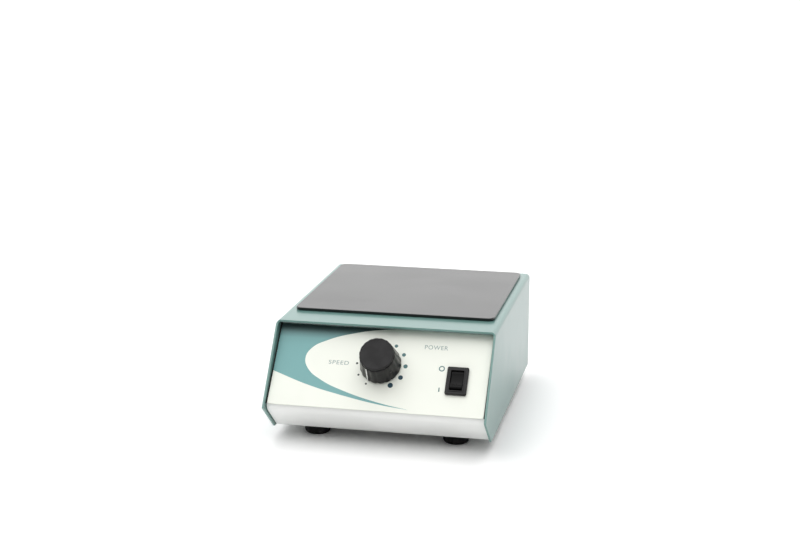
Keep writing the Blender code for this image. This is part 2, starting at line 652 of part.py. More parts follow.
def make_cover_screws():
    """Four screws from below that hold the chassis to the cover's tabs."""
    for corner, (x, y) in TABS.items():
        add_screw("cover_screw_" + corner, SCREW_M3, COVER_SCREW_LENGTH, None,
                  (x, y, BASE_UNDER - GAP), (math.pi, 0, 0))


# ---------------------------------------------------------------- speed control


def knob_cavity_top():
    return KNOB_LIFT + KNOB_CAVITY_DEPTH


def make_knob(knob):
    """Fluted knob body, push-in cap and brass collet on the potentiometer's shaft."""
    top = KNOB_LIFT + KNOB_HEIGHT
    collet_outer = SHAFT_RADIUS + GAP + COLLET_WALL
    seat = SPIGOT_FOOT - GAP
    profile = [(KNOB_CAVITY, KNOB_LIFT), (KNOB_RADIUS - KNOB_EDGE / 2, KNOB_LIFT),
               (KNOB_RADIUS, KNOB_LIFT + KNOB_EDGE), (KNOB_TOP_RADIUS, top - KNOB_EDGE),
               (KNOB_TOP_RADIUS - KNOB_EDGE, top), (CAP_SPIGOT + GAP, top), (CAP_SPIGOT + GAP, seat),
               (collet_outer + GAP, seat), (collet_outer + GAP, knob_cavity_top()),
               (KNOB_CAVITY, knob_cavity_top())]
    bm = bmesh.new()
    add_turned(bm, profile, steps=KNOB_FLUTES * 3)
    bmesh.ops.remove_doubles(bm, verts=bm.verts, dist=WELD)
    for vert in bm.verts:
        radius = math.hypot(vert.co.x, vert.co.y)
        if radius > KNOB_TOP_RADIUS - KNOB_EDGE / 2:
            angle = math.atan2(vert.co.y, vert.co.x)
            dip = FLUTE_DEPTH * (1 - math.cos(KNOB_FLUTES * angle)) / 2
            vert.co.x *= (radius - dip) / radius
            vert.co.y *= (radius - dip) / radius
    add_piece("knob_body", bm, "black_plastic", knob)

    low = top + GAP
    high = low + CAP_HEIGHT
    bm = bmesh.new()
    add_turned(bm, [(0, SPIGOT_FOOT), (CAP_SPIGOT, SPIGOT_FOOT), (CAP_SPIGOT, low), (CAP_RADIUS, low),
                    (CAP_RADIUS, high - CAP_EDGE), (CAP_RADIUS - CAP_EDGE, high), (0, high)], steps=36)
    add_piece("knob_cap", bm, "black_plastic", knob)

    low = knob_cavity_top() + GAP
    bm = bmesh.new()
    inner = SHAFT_RADIUS + GAP
    high = SPIGOT_FOOT - COLLET_TO_CAP
    add_turned(bm, [(inner, low), (collet_outer, low), (collet_outer, high), (inner, high)], steps=24)
    add_piece("knob_collet", bm, "brass", knob)


def make_potentiometer(knob):
    """Potentiometer behind the panel: can with bushing, shaft and nut."""
    front = -FACE_TO_PANEL - CHASSIS_SHEET - GAP
    back = front - POT_DEPTH
    bore = SHAFT_RADIUS + GAP
    floor = back + POT_BACK_WALL
    bm = bmesh.new()
    add_turned(bm, [(0, back), (POT_RADIUS, back), (POT_RADIUS, front), (BUSHING_RADIUS, front),
                    (BUSHING_RADIUS, BUSHING_REACH), (bore, BUSHING_REACH), (bore, floor), (0, floor)],
               steps=32)
    body = add_piece("pot_body", bm, "steel", knob)
    lugs = bmesh.new()
    for index in (-1, 0, 1):
        x = index * LUG_PITCH
        add_block(lugs, (x - LUG_WIDTH / 2, -POT_RADIUS - LUG_LENGTH, back + LUG_LIFT),
                  (x + LUG_WIDTH / 2, -POT_RADIUS / 2, back + LUG_LIFT + LUG_THICKNESS))
    shape_with(body, lugs, "UNION", knob)

    bm = bmesh.new()
    add_drum(bm, SHAFT_RADIUS, floor + GAP, SHAFT_REACH, steps=24)
    shaft = add_piece("pot_shaft", bm, "aluminium", knob)
    flat = bmesh.new()
    add_block(flat, (-SHAFT_RADIUS, SHAFT_RADIUS - SHAFT_FLAT_DEPTH, SHAFT_FLAT_START),
              (SHAFT_RADIUS, 2 * SHAFT_RADIUS, 2 * SHAFT_REACH))
    shape_with(shaft, flat, "DIFFERENCE", knob)

    hole = BUSHING_RADIUS + GAP
    low = -FACE_TO_PANEL + GAP
    bm = bmesh.new()
    add_prism(bm, hexagon(NUT_ACROSS), low, low + NUT_THICKNESS, in_xy)
    nut = add_piece("pot_nut", bm, "brass", knob)
    bore_tool = bmesh.new()
    add_drum(bore_tool, hole, low - NUT_THICKNESS, low + 2 * NUT_THICKNESS, steps=28)
    shape_with(nut, bore_tool, "DIFFERENCE", knob)


# ---------------------------------------------------------------- power switch


def rocker_outline():
    """Side view of the rocker at mid travel, about its pivot: round ends and a dished top."""
    radius = WINDOW_HEIGHT / 2 - GAP
    low, high = ROCKER_RIM_ANGLES
    turns = [low + (high - low) * step / ROCKER_RIM_STEPS for step in range(ROCKER_RIM_STEPS + 1)]
    upper = [(radius * math.cos(turn), radius * math.sin(turn)) for turn in turns]
    tip, crest = upper[-1]
    dish = [(tip / 2, crest - ROCKER_DISH * 0.75), (0, crest - ROCKER_DISH),
            (-tip / 2, crest - ROCKER_DISH * 0.75)]
    lower = [(-across, up) for across, up in reversed(upper)]
    foot = [(-ROCKER_FOOT / 2, -ROCKER_FOOT), (ROCKER_FOOT / 2, -ROCKER_FOOT)]
    return upper + dish + lower + foot


def make_switch(switch, rocker):
    """Snap-in rocker switch: housing with bezel, rocker and two spade terminals."""
    low = GAP
    bm = bmesh.new()
    outline = rounded_rectangle(BEZEL_WIDTH, BEZEL_HEIGHT, BEZEL_CORNER, 3)
    add_prism(bm, outline, low, low + BEZEL_THICKNESS, in_xy)
    housing = add_piece("switch_housing", bm, "black_plastic", switch)
    body = bmesh.new()
    floor = low - SWITCH_BODY_DEPTH
    add_block(body, (-SWITCH_BODY_WIDTH / 2, -SWITCH_BODY_HEIGHT / 2, floor),
              (SWITCH_BODY_WIDTH / 2, SWITCH_BODY_HEIGHT / 2, low + EMBED))
    shape_with(housing, body, "UNION", switch)
    window = bmesh.new()
    add_block(window, (-WINDOW_WIDTH / 2, -WINDOW_HEIGHT / 2, low + BEZEL_THICKNESS - WINDOW_DEPTH),
              (WINDOW_WIDTH / 2, WINDOW_HEIGHT / 2, low + 2 * BEZEL_THICKNESS))
    shape_with(housing, window, "DIFFERENCE", switch)

    bm = bmesh.new()
    add_prism(bm, rocker_outline(), -(WINDOW_WIDTH / 2 - GAP), WINDOW_WIDTH / 2 - GAP, in_yz)
    add_piece("switch_rocker", bm, "black_plastic", rocker)

    for name, side in (("switch_terminal_upper", 1), ("switch_terminal_lower", -1)):
        bm = bmesh.new()
        middle = side * TERMINAL_PITCH / 2
        add_block(bm, (-TERMINAL_WIDTH / 2, middle - TERMINAL_THICKNESS / 2, floor - GAP - TERMINAL_LENGTH),
                  (TERMINAL_WIDTH / 2, middle + TERMINAL_THICKNESS / 2, floor - GAP))
        add_piece(name, bm, "brass", switch)


# ---------------------------------------------------------------- mains inlet


def drawer_box(grow=0.0):
    """Corners of the fuse drawer, or of its slot when grown."""
    front = GAP + FLANGE_THICKNESS
    low = (-DRAWER_WIDTH / 2 - grow, -DRAWER_DOWN - DRAWER_HEIGHT / 2 - grow, front - DRAWER_DEPTH - grow)
    high = (DRAWER_WIDTH / 2 + grow, -DRAWER_DOWN + DRAWER_HEIGHT / 2 + grow, front)
    return low, high


def make_inlet(inlet, drawer):
    """Flanged mains inlet with three blades, a fuse drawer below the socket and two screws."""
    low = GAP
    front = low + FLANGE_THICKNESS
    bm = bmesh.new()
    add_prism(bm, rounded_rectangle(FLANGE_WIDTH, FLANGE_HEIGHT, FLANGE_CORNER, 4), low, front, in_xy)
    housing = add_piece("inlet_housing", bm, "black_plastic", inlet)
    body = bmesh.new()
    add_block(body, (-INLET_BODY_WIDTH / 2, -INLET_BODY_HEIGHT / 2, front - INLET_BODY_DEPTH),
              (INLET_BODY_WIDTH / 2, INLET_BODY_HEIGHT / 2, low + EMBED))
    shape_with(housing, body, "UNION", inlet)

    cuts = bmesh.new()
    half, rise, nip = SOCKET_WIDTH / 2, SOCKET_HEIGHT / 2, SOCKET_CHAMFER
    socket = [(-half, SOCKET_UP - rise), (half, SOCKET_UP - rise), (half, SOCKET_UP + rise - nip),
              (half - nip, SOCKET_UP + rise), (-half + nip, SOCKET_UP + rise),
              (-half, SOCKET_UP + rise - nip)]
    socket_floor = front - SOCKET_DEPTH
    add_prism(cuts, socket, socket_floor, front + FLANGE_THICKNESS, in_xy)
    slot_low, slot_high = drawer_box(GAP)
    add_block(cuts, slot_low, (slot_high[0], slot_high[1], front + FLANGE_THICKNESS))
    for side in (-1, 1):
        add_sink(cuts, SCREW_M3, front, 2 * FLANGE_THICKNESS, (side * INLET_SCREW_PITCH / 2, 0))
    shape_with(housing, cuts, "DIFFERENCE", inlet)

    pins = {"inlet_pin_line": (-PIN_PITCH, -PIN_STAGGER / 2),
            "inlet_pin_neutral": (PIN_PITCH, -PIN_STAGGER / 2),
            "inlet_pin_earth": (0, PIN_STAGGER / 2)}
    for name, (across, up) in pins.items():
        bm = bmesh.new()
        up += SOCKET_UP
        add_block(bm, (across - PIN_WIDTH / 2, up - PIN_HEIGHT / 2, socket_floor + GAP),
                  (across + PIN_WIDTH / 2, up + PIN_HEIGHT / 2, socket_floor + GAP + PIN_LENGTH))
        add_piece(name, bm, "brass", inlet)

    bm = bmesh.new()
    box_low, box_high = drawer_box()
    add_block(bm, box_low, box_high)
    tray = add_piece("fuse_drawer", bm, "black_plastic", drawer)
    trough = bmesh.new()
    around = FUSE_RADIUS + GAP
    fuse_middle = -DRAWER_DOWN + DRAWER_HEIGHT / 2 - around
    fuse_front = front - DRAWER_LIP - 2 * GAP
    add_block(trough, (-FUSE_OFFSET - around, fuse_middle - around, fuse_front - FUSE_LENGTH - GAP),
              (-FUSE_OFFSET + around, box_high[1] + DRAWER_HEIGHT, fuse_front + GAP))
    shape_with(tray, trough, "DIFFERENCE", drawer)

    bm = bmesh.new()
    add_drum(bm, FUSE_RADIUS, fuse_front - FUSE_LENGTH, fuse_front, (-FUSE_OFFSET, fuse_middle), 20)
    add_piece("fuse", bm, "glass", drawer)

    for name, side in (("inlet_screw_left", 1), ("inlet_screw_right", -1)):
        place = (side * INLET_SCREW_PITCH / 2, 0, front - GAP)
        add_flush_screw(name, SCREW_M3, INLET_SCREW_LENGTH, inlet, place)


# ---------------------------------------------------------------- motor and rotor


def make_motor():
    """Motor hung under a bridge bracket, with its end cap and screws."""
    bore = MOTOR_SHAFT_RADIUS + GAP
    floor = MOTOR_BOTTOM + MOTOR_FLOOR_WALL
    boss_top = MOTOR_TOP + MOTOR_BOSS_HEIGHT
    bm = bmesh.new()
    add_turned(bm, [(0, MOTOR_BOTTOM), (MOTOR_RADIUS, MOTOR_BOTTOM), (MOTOR_RADIUS, MOTOR_TOP - MOTOR_EDGE),
                    (MOTOR_RADIUS - MOTOR_EDGE, MOTOR_TOP), (MOTOR_BOSS_RADIUS, MOTOR_TOP),
                    (MOTOR_BOSS_RADIUS, boss_top), (bore, boss_top), (bore, floor), (0, floor)], steps=36)
    case = add_piece("motor_case", bm, "steel", location=(0, ROTOR_Y, 0))
    holes = bmesh.new()
    for side in (-1, 1):
        add_drum(holes, SCREW_M3[0] + GAP, MOTOR_TOP - MOTOR_SCREW_BORE, MOTOR_TOP + MOTOR_SCREW_BORE,
                 (side * MOTOR_SCREW_PITCH / 2, ROTOR_Y), 12)
    shape_with(case, holes, "DIFFERENCE")

    bm = bmesh.new()
    rim = MOTOR_RADIUS - END_CAP_STEP
    ledge = CAP_BOTTOM + END_CAP_THICKNESS / 3
    cap_top = CAP_BOTTOM + END_CAP_THICKNESS
    add_turned(bm, [(0, CAP_BOTTOM), (rim / 2, CAP_BOTTOM), (rim / 2 + END_CAP_STEP, ledge), (rim, ledge),
                    (rim, cap_top), (0, cap_top)], steps=32)
    add_piece("motor_end_cap", bm, "black_plastic", location=(0, ROTOR_Y, 0))

    half = BRACKET_SPAN / 2
    flange = half + BRACKET_FLANGE
    low, high = BASE_TOP + GAP, BRACKET_TOP - BRACKET_SHEET
    path = [(-flange, low), (-half, low), (-half, high), (half, high), (half, low), (flange, low)]
    bm = bmesh.new()
    inner = BRACKET_BEND - BRACKET_SHEET
    section = bent_strip(path, (BRACKET_BEND, inner, inner, BRACKET_BEND), BRACKET_SHEET)
    add_prism(bm, section, ROTOR_Y - BRACKET_DEPTH / 2, ROTOR_Y + BRACKET_DEPTH / 2, in_xz)
    bracket = add_piece("motor_bracket", bm, "zinc")
    holes = bmesh.new()
    add_drum(holes, MOTOR_BOSS_RADIUS + GAP, high - BRACKET_SHEET, high + 3 * BRACKET_SHEET,
             (0, ROTOR_Y), 24)
    for side in (-1, 1):
        add_drum(holes, SCREW_M3[0] + GAP, high - BRACKET_SHEET, high + 3 * BRACKET_SHEET,
                 (side * MOTOR_SCREW_PITCH / 2, ROTOR_Y), 12)
        add_drum(holes, SCREW_M4[0] + GAP, low - BRACKET_SHEET, low + 2 * BRACKET_SHEET,
                 (side * BRACKET_SCREW_X, ROTOR_Y), 16)
    shape_with(bracket, holes, "DIFFERENCE")

    for name, side in (("left", -1), ("right", 1)):
        add_screw("motor_screw_" + name, SCREW_M3, BRACKET_SHEET + MOTOR_SCREW_GRIP, None,
                  (side * MOTOR_SCREW_PITCH / 2, ROTOR_Y, BRACKET_TOP + GAP))
        add_screw("bracket_screw_" + name, SCREW_M4, BRACKET_SCREW_LENGTH, None,
                  (side * BRACKET_SCREW_X, ROTOR_Y, BASE_UNDER - GAP), (math.pi, 0, 0))


def make_rotor(rotor):
    """Shaft, aluminium yoke with its set screw, and two disc magnets."""
    bm = bmesh.new()
    add_drum(bm, MOTOR_SHAFT_RADIUS, MOTOR_BOTTOM + MOTOR_FLOOR_WALL + GAP, YOKE_TOP - SHAFT_DROP, steps=24)
    add_piece("motor_shaft", bm, "steel", rotor)

    bm = bmesh.new()
    outline = rounded_rectangle(YOKE_LENGTH, YOKE_WIDTH, YOKE_CORNER, 4)
    add_prism(bm, outline, YOKE_TOP - YOKE_THICKNESS, YOKE_TOP, in_xy)
    yoke = add_piece("magnet_yoke", bm, "aluminium", rotor)
    hub = bmesh.new()
    add_drum(hub, HUB_RADIUS, HUB_BOTTOM, YOKE_TOP - YOKE_THICKNESS + EMBED, steps=28)
    shape_with(yoke, hub, "UNION", rotor)
    holes = bmesh.new()
    add_drum(holes, MOTOR_SHAFT_RADIUS + GAP, HUB_BOTTOM - HUB_LENGTH, YOKE_TOP + HUB_LENGTH, steps=24)
    shape_with(yoke, holes, "DIFFERENCE", rotor)
    side_hole = bmesh.new()
    add_drum(side_hole, SCREW_M3[0] + GAP, MOTOR_SHAFT_RADIUS, 2 * HUB_RADIUS, steps=12)
    mid_hub = HUB_BOTTOM + HUB_LENGTH / 2
    tool = shape_with(yoke, side_hole, "DIFFERENCE", rotor, (0, 0, mid_hub), (math.pi / 2, 0, 0))
    tool.name = "magnet_yoke_set_screw_tool"

    bm = bmesh.new()
    add_drum(bm, SCREW_M3[0], MOTOR_SHAFT_RADIUS + 2 * GAP, HUB_RADIUS, steps=12)
    add_piece("yoke_set_screw", bm, "steel", rotor, (0, 0, mid_hub), (math.pi / 2, 0, 0))

    for name, side in (("magnet_north", 1), ("magnet_south", -1)):
        bm = bmesh.new()
        low, high = YOKE_TOP + GAP, MAGNET_TOP
        add_turned(bm, [(0, low), (MAGNET_RADIUS, low), (MAGNET_RADIUS, high - MAGNET_EDGE),
                        (MAGNET_RADIUS - MAGNET_EDGE, high), (0, high)], steps=28)
        add_piece(name, bm, "magnet", rotor, (side * MAGNET_PITCH / 2, 0, 0))


# ---------------------------------------------------------------- electronics


def make_board():
    """Speed control board on four nylon supports."""
    half_width, half_depth = BOARD_WIDTH / 2, BOARD_DEPTH / 2
    corners = {}
    for rear, y in (("front", -1), ("rear", 1)):
        for side, x in (("left", -1), ("right", 1)):
            corners[rear + "_" + side] = (BOARD_RIGHT + x * (half_width - BOARD_HOLE_INSET),
                                          BOARD_BACK + y * (half_depth - BOARD_HOLE_INSET))
    bm = bmesh.new()
    add_block(bm, (BOARD_RIGHT - half_width, BOARD_BACK - half_depth, BOARD_UNDER),
              (BOARD_RIGHT + half_width, BOARD_BACK + half_depth, BOARD_TOP))
    board = add_piece("control_board", bm, "board")
    holes = bmesh.new()
    for place in corners.values():
        add_drum(holes, SUPPORT_NECK + GAP, BOARD_UNDER - BOARD_LIFT, BOARD_TOP + BOARD_LIFT, place, 12)
    shape_with(board, holes, "DIFFERENCE")
    low = BASE_TOP + GAP
    snap = BOARD_TOP + SUPPORT_SNAP
    profile = [(0, low), (SUPPORT_RADIUS, low), (SUPPORT_RADIUS, BOARD_UNDER - GAP),
               (SUPPORT_NECK, BOARD_UNDER - GAP), (SUPPORT_NECK, BOARD_TOP + GAP),
               (SUPPORT_HEAD, BOARD_TOP + GAP), (SUPPORT_NECK, snap), (0, snap)]
    for corner, (x, y) in corners.items():
        bm = bmesh.new()
        add_turned(bm, profile, steps=12)
        add_piece("board_support_" + corner, bm, "nylon", location=(x, y, 0))


def on_board(place):
    """A place on the board's upper face, from the board's middle."""
    return (BOARD_RIGHT + place[0], BOARD_BACK + place[1], BOARD_TOP + GAP)


def add_standing_block(bm, size, lift=0.0):
    """A box standing on the origin plane, centred across it."""
    width, depth, height = size
    add_block(bm, (-width / 2, -depth / 2, lift), (width / 2, depth / 2, lift + height))


def make_board_parts():
    """Transformer, capacitor and terminal block, standing on the board."""
    bm = bmesh.new()
    add_standing_block(bm, CORE_SIZE, CORE_LIFT)
    transformer = add_piece("transformer", bm, "steel", location=on_board(TRANSFORMER_PLACE))
    coil = bmesh.new()
    add_standing_block(coil, COIL_SIZE)
    shape_with(transformer, coil, "UNION", None, on_board(TRANSFORMER_PLACE))

    bm = bmesh.new()
    shoulder = CAPACITOR_HEIGHT - CAPACITOR_EDGE
    add_turned(bm, [(0, 0), (CAPACITOR_RADIUS, 0), (CAPACITOR_RADIUS, shoulder),
                    (CAPACITOR_RADIUS - CAPACITOR_EDGE, CAPACITOR_HEIGHT), (0, CAPACITOR_HEIGHT)], steps=24)
    add_piece("capacitor", bm, "blue_sleeve", location=on_board(CAPACITOR_PLACE))

    bm = bmesh.new()
    add_standing_block(bm, BLOCK_SIZE)
    block = add_piece("terminal_block", bm, "green_block", location=on_board(BLOCK_PLACE))
    wells = bmesh.new()
    for index in range(BLOCK_WAYS):
        middle = (index - (BLOCK_WAYS - 1) / 2) * BLOCK_PITCH
        add_drum(wells, BLOCK_WELL_RADIUS, BLOCK_SIZE[2] - BLOCK_WELL_DEPTH, 2 * BLOCK_SIZE[2],
                 (middle, 0), 12)
    shape_with(block, wells, "DIFFERENCE", None, on_board(BLOCK_PLACE))


def make_earth_stud():
    """Protective earth stud on the base."""
    bm = bmesh.new()
    add_turned(bm, [(0, 0), (STUD_FLANGE_RADIUS, 0), (STUD_FLANGE_RADIUS, STUD_FLANGE_HEIGHT),
                    (STUD_RADIUS, STUD_FLANGE_HEIGHT), (STUD_RADIUS, STUD_HEIGHT), (0, STUD_HEIGHT)],
               steps=20)
    add_piece("earth_stud", bm, "brass", location=(*STUD, BASE_TOP + GAP))


def smooth_route(points, per_span=4):
    """Points along a smooth curve through the route's own points."""
    points = [Vector(point) for point in points]
    padded = [points[0] * 2 - points[1], *points, points[-1] * 2 - points[-2]]
    route = []
    for a, b, c, d in zip(padded, padded[1:], padded[2:], padded[3:]):
        for step in range(per_span):
            t = step / per_span
            square = (2 * a - 5 * b + 4 * c - d) * t ** 2
            cube = (3 * b - a - 3 * c + d) * t ** 3
            route.append((2 * b + (c - a) * t + square + cube) / 2)
    return route + [points[-1]]


def add_wire(name, points, finish):
    """An insulated wire along a smooth route, with closed ends."""
    curve = bpy.data.curves.new(name, "CURVE")
    curve.dimensions = "3D"
    curve.bevel_depth = WIRE_RADIUS
    curve.bevel_resolution = 2
    curve.use_fill_caps = True
    route = smooth_route(points)
    spline = curve.splines.new("POLY")
    spline.points.add(len(route) - 1)
    for knot, point in zip(spline.points, route):
        knot.co = (*point, 1.0)
    material = bpy.data.materials.new(name + "_" + finish)
    material.use_nodes = True
    shader = material.node_tree.nodes["Principled BSDF"]
    colour, roughness, _ = FINISHES[finish]
    shader.inputs["Base Color"].default_value = (*colour, 1.0)
    shader.inputs["Roughness"].default_value = roughness
    curve.materials.append(material)
    wire = bpy.data.objects.new(name, curve)
    bpy.context.collection.objects.link(wire)


def panel_point(right, up, out):
    """A place on the panel, given along it and out from its face."""
    along = Vector((0, math.sin(PANEL_LEAN), math.cos(PANEL_LEAN)))
    outward = Vector((0, -math.cos(PANEL_LEAN), math.sin(PANEL_LEAN)))
    return Vector((right, PANEL_Y, PANEL_Z)) + along * up + outward * out


def make_wires():
    """Internal wiring; each route is tied to its two ends, with offsets that clear what lies between."""
    inlet_back = REAR_WALL_Y + GAP + FLANGE_THICKNESS - INLET_BODY_DEPTH - WIRE_RADIUS
    inlet_z = BASE_TOP + INLET_HEIGHT
    switch_back = GAP - SWITCH_BODY_DEPTH - 2 * GAP - TERMINAL_LENGTH - WIRE_RADIUS
    clear = WIRE_RADIUS + GAP
    low = BASE_TOP + clear + GAP
    upper = panel_point(SWITCH_RIGHT, SWITCH_UP + TERMINAL_PITCH / 2, switch_back)
    lower = panel_point(SWITCH_RIGHT, SWITCH_UP - TERMINAL_PITCH / 2, switch_back)
    side = CHASSIS_HALF - 5 * MM
    add_wire("live_wire", [
        (INLET_RIGHT + 6 * MM, inlet_back, inlet_z + 6 * MM),
        (INLET_RIGHT + 10 * MM, inlet_back - 12 * MM, inlet_z),
        (side, ROTOR_Y, inlet_z - 6 * MM),
        (side, NOSE_Y + 87 * MM, upper.z),
        (SWITCH_RIGHT + 6 * MM, upper.y + 18 * MM, upper.z + 2 * MM),
        tuple(upper)], "brown_wire")

    board_right = BOARD_RIGHT + BOARD_WIDTH / 2
    block_end = BOARD_RIGHT + BLOCK_PLACE[0] + BLOCK_SIZE[0] / 2 + clear
    block_y = BOARD_BACK + BLOCK_PLACE[1]
    add_wire("switched_wire", [
        tuple(lower),
        (SWITCH_RIGHT - 4 * MM, lower.y + 14 * MM, lower.z - 3 * MM),
        (board_right + 24 * MM, BOARD_BACK, low + 4 * MM),
        (board_right + 14 * MM, BOARD_BACK + 16 * MM, BOARD_TOP + 4 * MM),
        (board_right - 6 * MM, block_y + 1.5 * MM, BOARD_TOP + 6 * MM),
        (block_end, block_y, BOARD_TOP + 6 * MM)], "red_wire")

    block_back = block_y + BLOCK_SIZE[1] / 2 + clear + GAP
    add_wire("motor_wire", [
        (BOARD_RIGHT + BLOCK_PLACE[0] + 4 * MM, block_back, BOARD_TOP + 6 * MM),
        (BOARD_RIGHT + BLOCK_PLACE[0] + 8 * MM, block_back + 8 * MM, BOARD_TOP + 3 * MM),
        (-MOTOR_RADIUS - 5 * MM, ROTOR_Y - 26 * MM, MOTOR_BOTTOM + 2 * MM),
        (-MOTOR_RADIUS + 4.6 * MM, ROTOR_Y - 19 * MM - clear, MOTOR_BOTTOM + 5 * MM),
        (-2 * MM, ROTOR_Y - MOTOR_RADIUS - clear, MOTOR_BOTTOM + 6 * MM)], "grey_wire")

    lug_out = -FACE_TO_PANEL - CHASSIS_SHEET - GAP - POT_DEPTH + LUG_LIFT + LUG_THICKNESS / 2
    lug = panel_point(0, KNOB_UP - POT_RADIUS - LUG_LENGTH - clear, lug_out)
    add_wire("speed_wire", [
        tuple(lug),
        (2 * MM, lug.y + 6 * MM, lug.z - 6 * MM),
        (4 * MM, lug.y + 16 * MM, BOARD_TOP + 4 * MM),
        (board_right - 14 * MM, BOARD_BACK - BOARD_DEPTH / 2 + 8 * MM, BOARD_TOP + clear + GAP)], "grey_wire")

    add_wire("earth_wire", [
        (INLET_RIGHT - 2 * MM, inlet_back, inlet_z - 2 * MM),
        (INLET_RIGHT + 2 * MM, inlet_back - 12 * MM, inlet_z - 8 * MM),
        (STUD[0] - 6 * MM, STUD[1] + 14 * MM, low + 8 * MM),
        (STUD[0] - 1 * MM, STUD[1] + STUD_FLANGE_RADIUS + clear, low + 1 * MM)], "earth_wire")


def main():
    """Build every piece of the stirrer."""
    clear_scene()
    panel_turn = (math.pi / 2 - PANEL_LEAN, 0, 0)
    panel = add_frame("panel_frame", (0, PANEL_Y, PANEL_Z), panel_turn)
    knob = add_frame("knob_axis", (0, KNOB_UP, 0), parent=panel)
    switch = add_frame("switch_frame", (SWITCH_RIGHT, SWITCH_UP, 0), parent=panel)
    rocker = add_frame("rocker_axis", (0, 0, -ROCKER_PIVOT), (-ROCKER_TILT, 0, 0), switch)
    inlet_place = (INLET_RIGHT, REAR_WALL_Y, BASE_TOP + INLET_HEIGHT)
    inlet = add_frame("inlet_frame", inlet_place, (math.pi / 2, 0, math.pi))
    drawer = add_frame("drawer_frame", (0, 0, 0), parent=inlet)
    rotor = add_frame("rotor_axis", (0, ROTOR_Y, 0))
    bpy.context.view_layer.update()

    make_cover()
    make_chassis(panel, inlet)
    make_overlay(panel)
    make_top_plate()
    make_feet()
    make_cover_screws()
    make_knob(knob)
    make_potentiometer(knob)
    make_switch(switch, rocker)
    make_inlet(inlet, drawer)
    make_motor()
    make_rotor(rotor)
    make_board()
    make_board_parts()
    make_earth_stud()
    make_wires()


main()
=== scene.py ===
"""Compact magnetic stirrer: detailed pieces and finishes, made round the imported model."""

import json
import math

import bmesh
import bpy
from bpy.props import FloatProperty, FloatVectorProperty, IntProperty, PointerProperty, StringProperty
from bpy.types import Operator, Panel, PropertyGroup
from mathutils import Matrix, Vector


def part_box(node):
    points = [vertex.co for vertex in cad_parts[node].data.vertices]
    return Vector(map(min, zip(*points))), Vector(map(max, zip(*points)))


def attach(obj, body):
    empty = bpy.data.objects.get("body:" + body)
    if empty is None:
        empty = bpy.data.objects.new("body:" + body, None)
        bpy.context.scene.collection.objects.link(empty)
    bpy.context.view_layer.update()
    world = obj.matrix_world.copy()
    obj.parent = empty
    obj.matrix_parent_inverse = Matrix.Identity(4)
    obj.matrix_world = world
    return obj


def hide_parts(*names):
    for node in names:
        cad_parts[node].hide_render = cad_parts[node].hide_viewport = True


bl_info = {
    "name": "Magnetic Stirrer",
    "version": (1, 0, 0),
    "blender": (4, 5, 0),
    "location": "3D View > Sidebar > Stirrer",
    "description": "Builds a compact magnetic stirrer around its packed frame",
    "category": "Object",
}

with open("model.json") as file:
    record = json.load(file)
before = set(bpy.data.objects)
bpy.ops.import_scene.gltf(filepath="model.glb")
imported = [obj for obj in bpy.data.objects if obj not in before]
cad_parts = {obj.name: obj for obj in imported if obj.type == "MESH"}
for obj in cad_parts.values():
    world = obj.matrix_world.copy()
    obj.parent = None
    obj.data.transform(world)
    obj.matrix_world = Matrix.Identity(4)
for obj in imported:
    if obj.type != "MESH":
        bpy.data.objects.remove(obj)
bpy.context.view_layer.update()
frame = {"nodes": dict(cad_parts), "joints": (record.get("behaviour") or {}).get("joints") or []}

MM = 0.001
NEAR = 0.01 * MM               # two places closer than this are the same
JOINTS = {joint["name"]: joint for joint in frame["joints"]}
COVER_LOW, COVER_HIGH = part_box("cover")
CHASSIS_LOW, CHASSIS_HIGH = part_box("chassis")
PLATE_LOW, PLATE_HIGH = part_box("top_plate")
INLET_LOW, INLET_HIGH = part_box("inlet_housing")


# ---------------------------------------------------------------- frames of reference


def frame_at(origin, across, up):
    """A frame whose X runs across, Y up and Z out."""
    across = across.normalized()
    up = up.normalized()
    placed = Matrix((across, up, across.cross(up))).transposed().to_4x4()
    placed.translation = origin
    return placed


WORLD_X = Vector((1, 0, 0))
WORLD_Z = Vector((0, 0, 1))
PANEL_OUT = -Vector(JOINTS["knob_turn"]["axis"]).normalized()
PANEL_UP = PANEL_OUT.cross(WORLD_X)
KNOB_UP = 37.8 * MM            # knob's centre above the panel's lower corner
KNOB_FRAME = frame_at(Vector(JOINTS["knob_turn"]["pos_m"]), WORLD_X, PANEL_UP)
PANEL_FRAME = KNOB_FRAME @ Matrix.Translation((0, -KNOB_UP, 0))
POINTER_REST = math.radians(-210)      # the white line, at the slowest speed
ROCKER_PIVOT = 1.2 * MM        # rocker's pivot below the panel's face
ROCKER_REST = math.radians(-9)
ROCKER_FRAME = frame_at(Vector(JOINTS["rocker_tilt"]["pos_m"]), WORLD_X, PANEL_UP)
SWITCH_FRAME = ROCKER_FRAME @ Matrix.Translation((0, 0, ROCKER_PIVOT))
INLET_FRONT = 2.8 * MM         # flange's face above the rear wall
INLET_SCREW_REACH = 20 * MM    # each screw beside the inlet's middle
DRAWER_UP = -8.9 * MM          # fuse drawer's middle above the inlet's
INLET_MIDDLE = (INLET_LOW + INLET_HIGH) / 2
INLET_CENTRE = Vector((INLET_MIDDLE.x, INLET_HIGH.y - INLET_FRONT, INLET_MIDDLE.z))
INLET_FRAME = frame_at(INLET_CENTRE, -WORLD_X, WORLD_Z)


# ---------------------------------------------------------------- sizes and colours a user may change


def measure(name, description, default, least=0.0):
    """A length that a user may change, given in millimetres."""
    return FloatProperty(name=name, description=description, default=default * MM, min=least * MM,
                         unit="LENGTH")


def tint(name, description, *default):
    """A colour that a user may change."""
    return FloatVectorProperty(name=name, description=description, subtype="COLOR", size=3, min=0, max=1,
                               default=default)


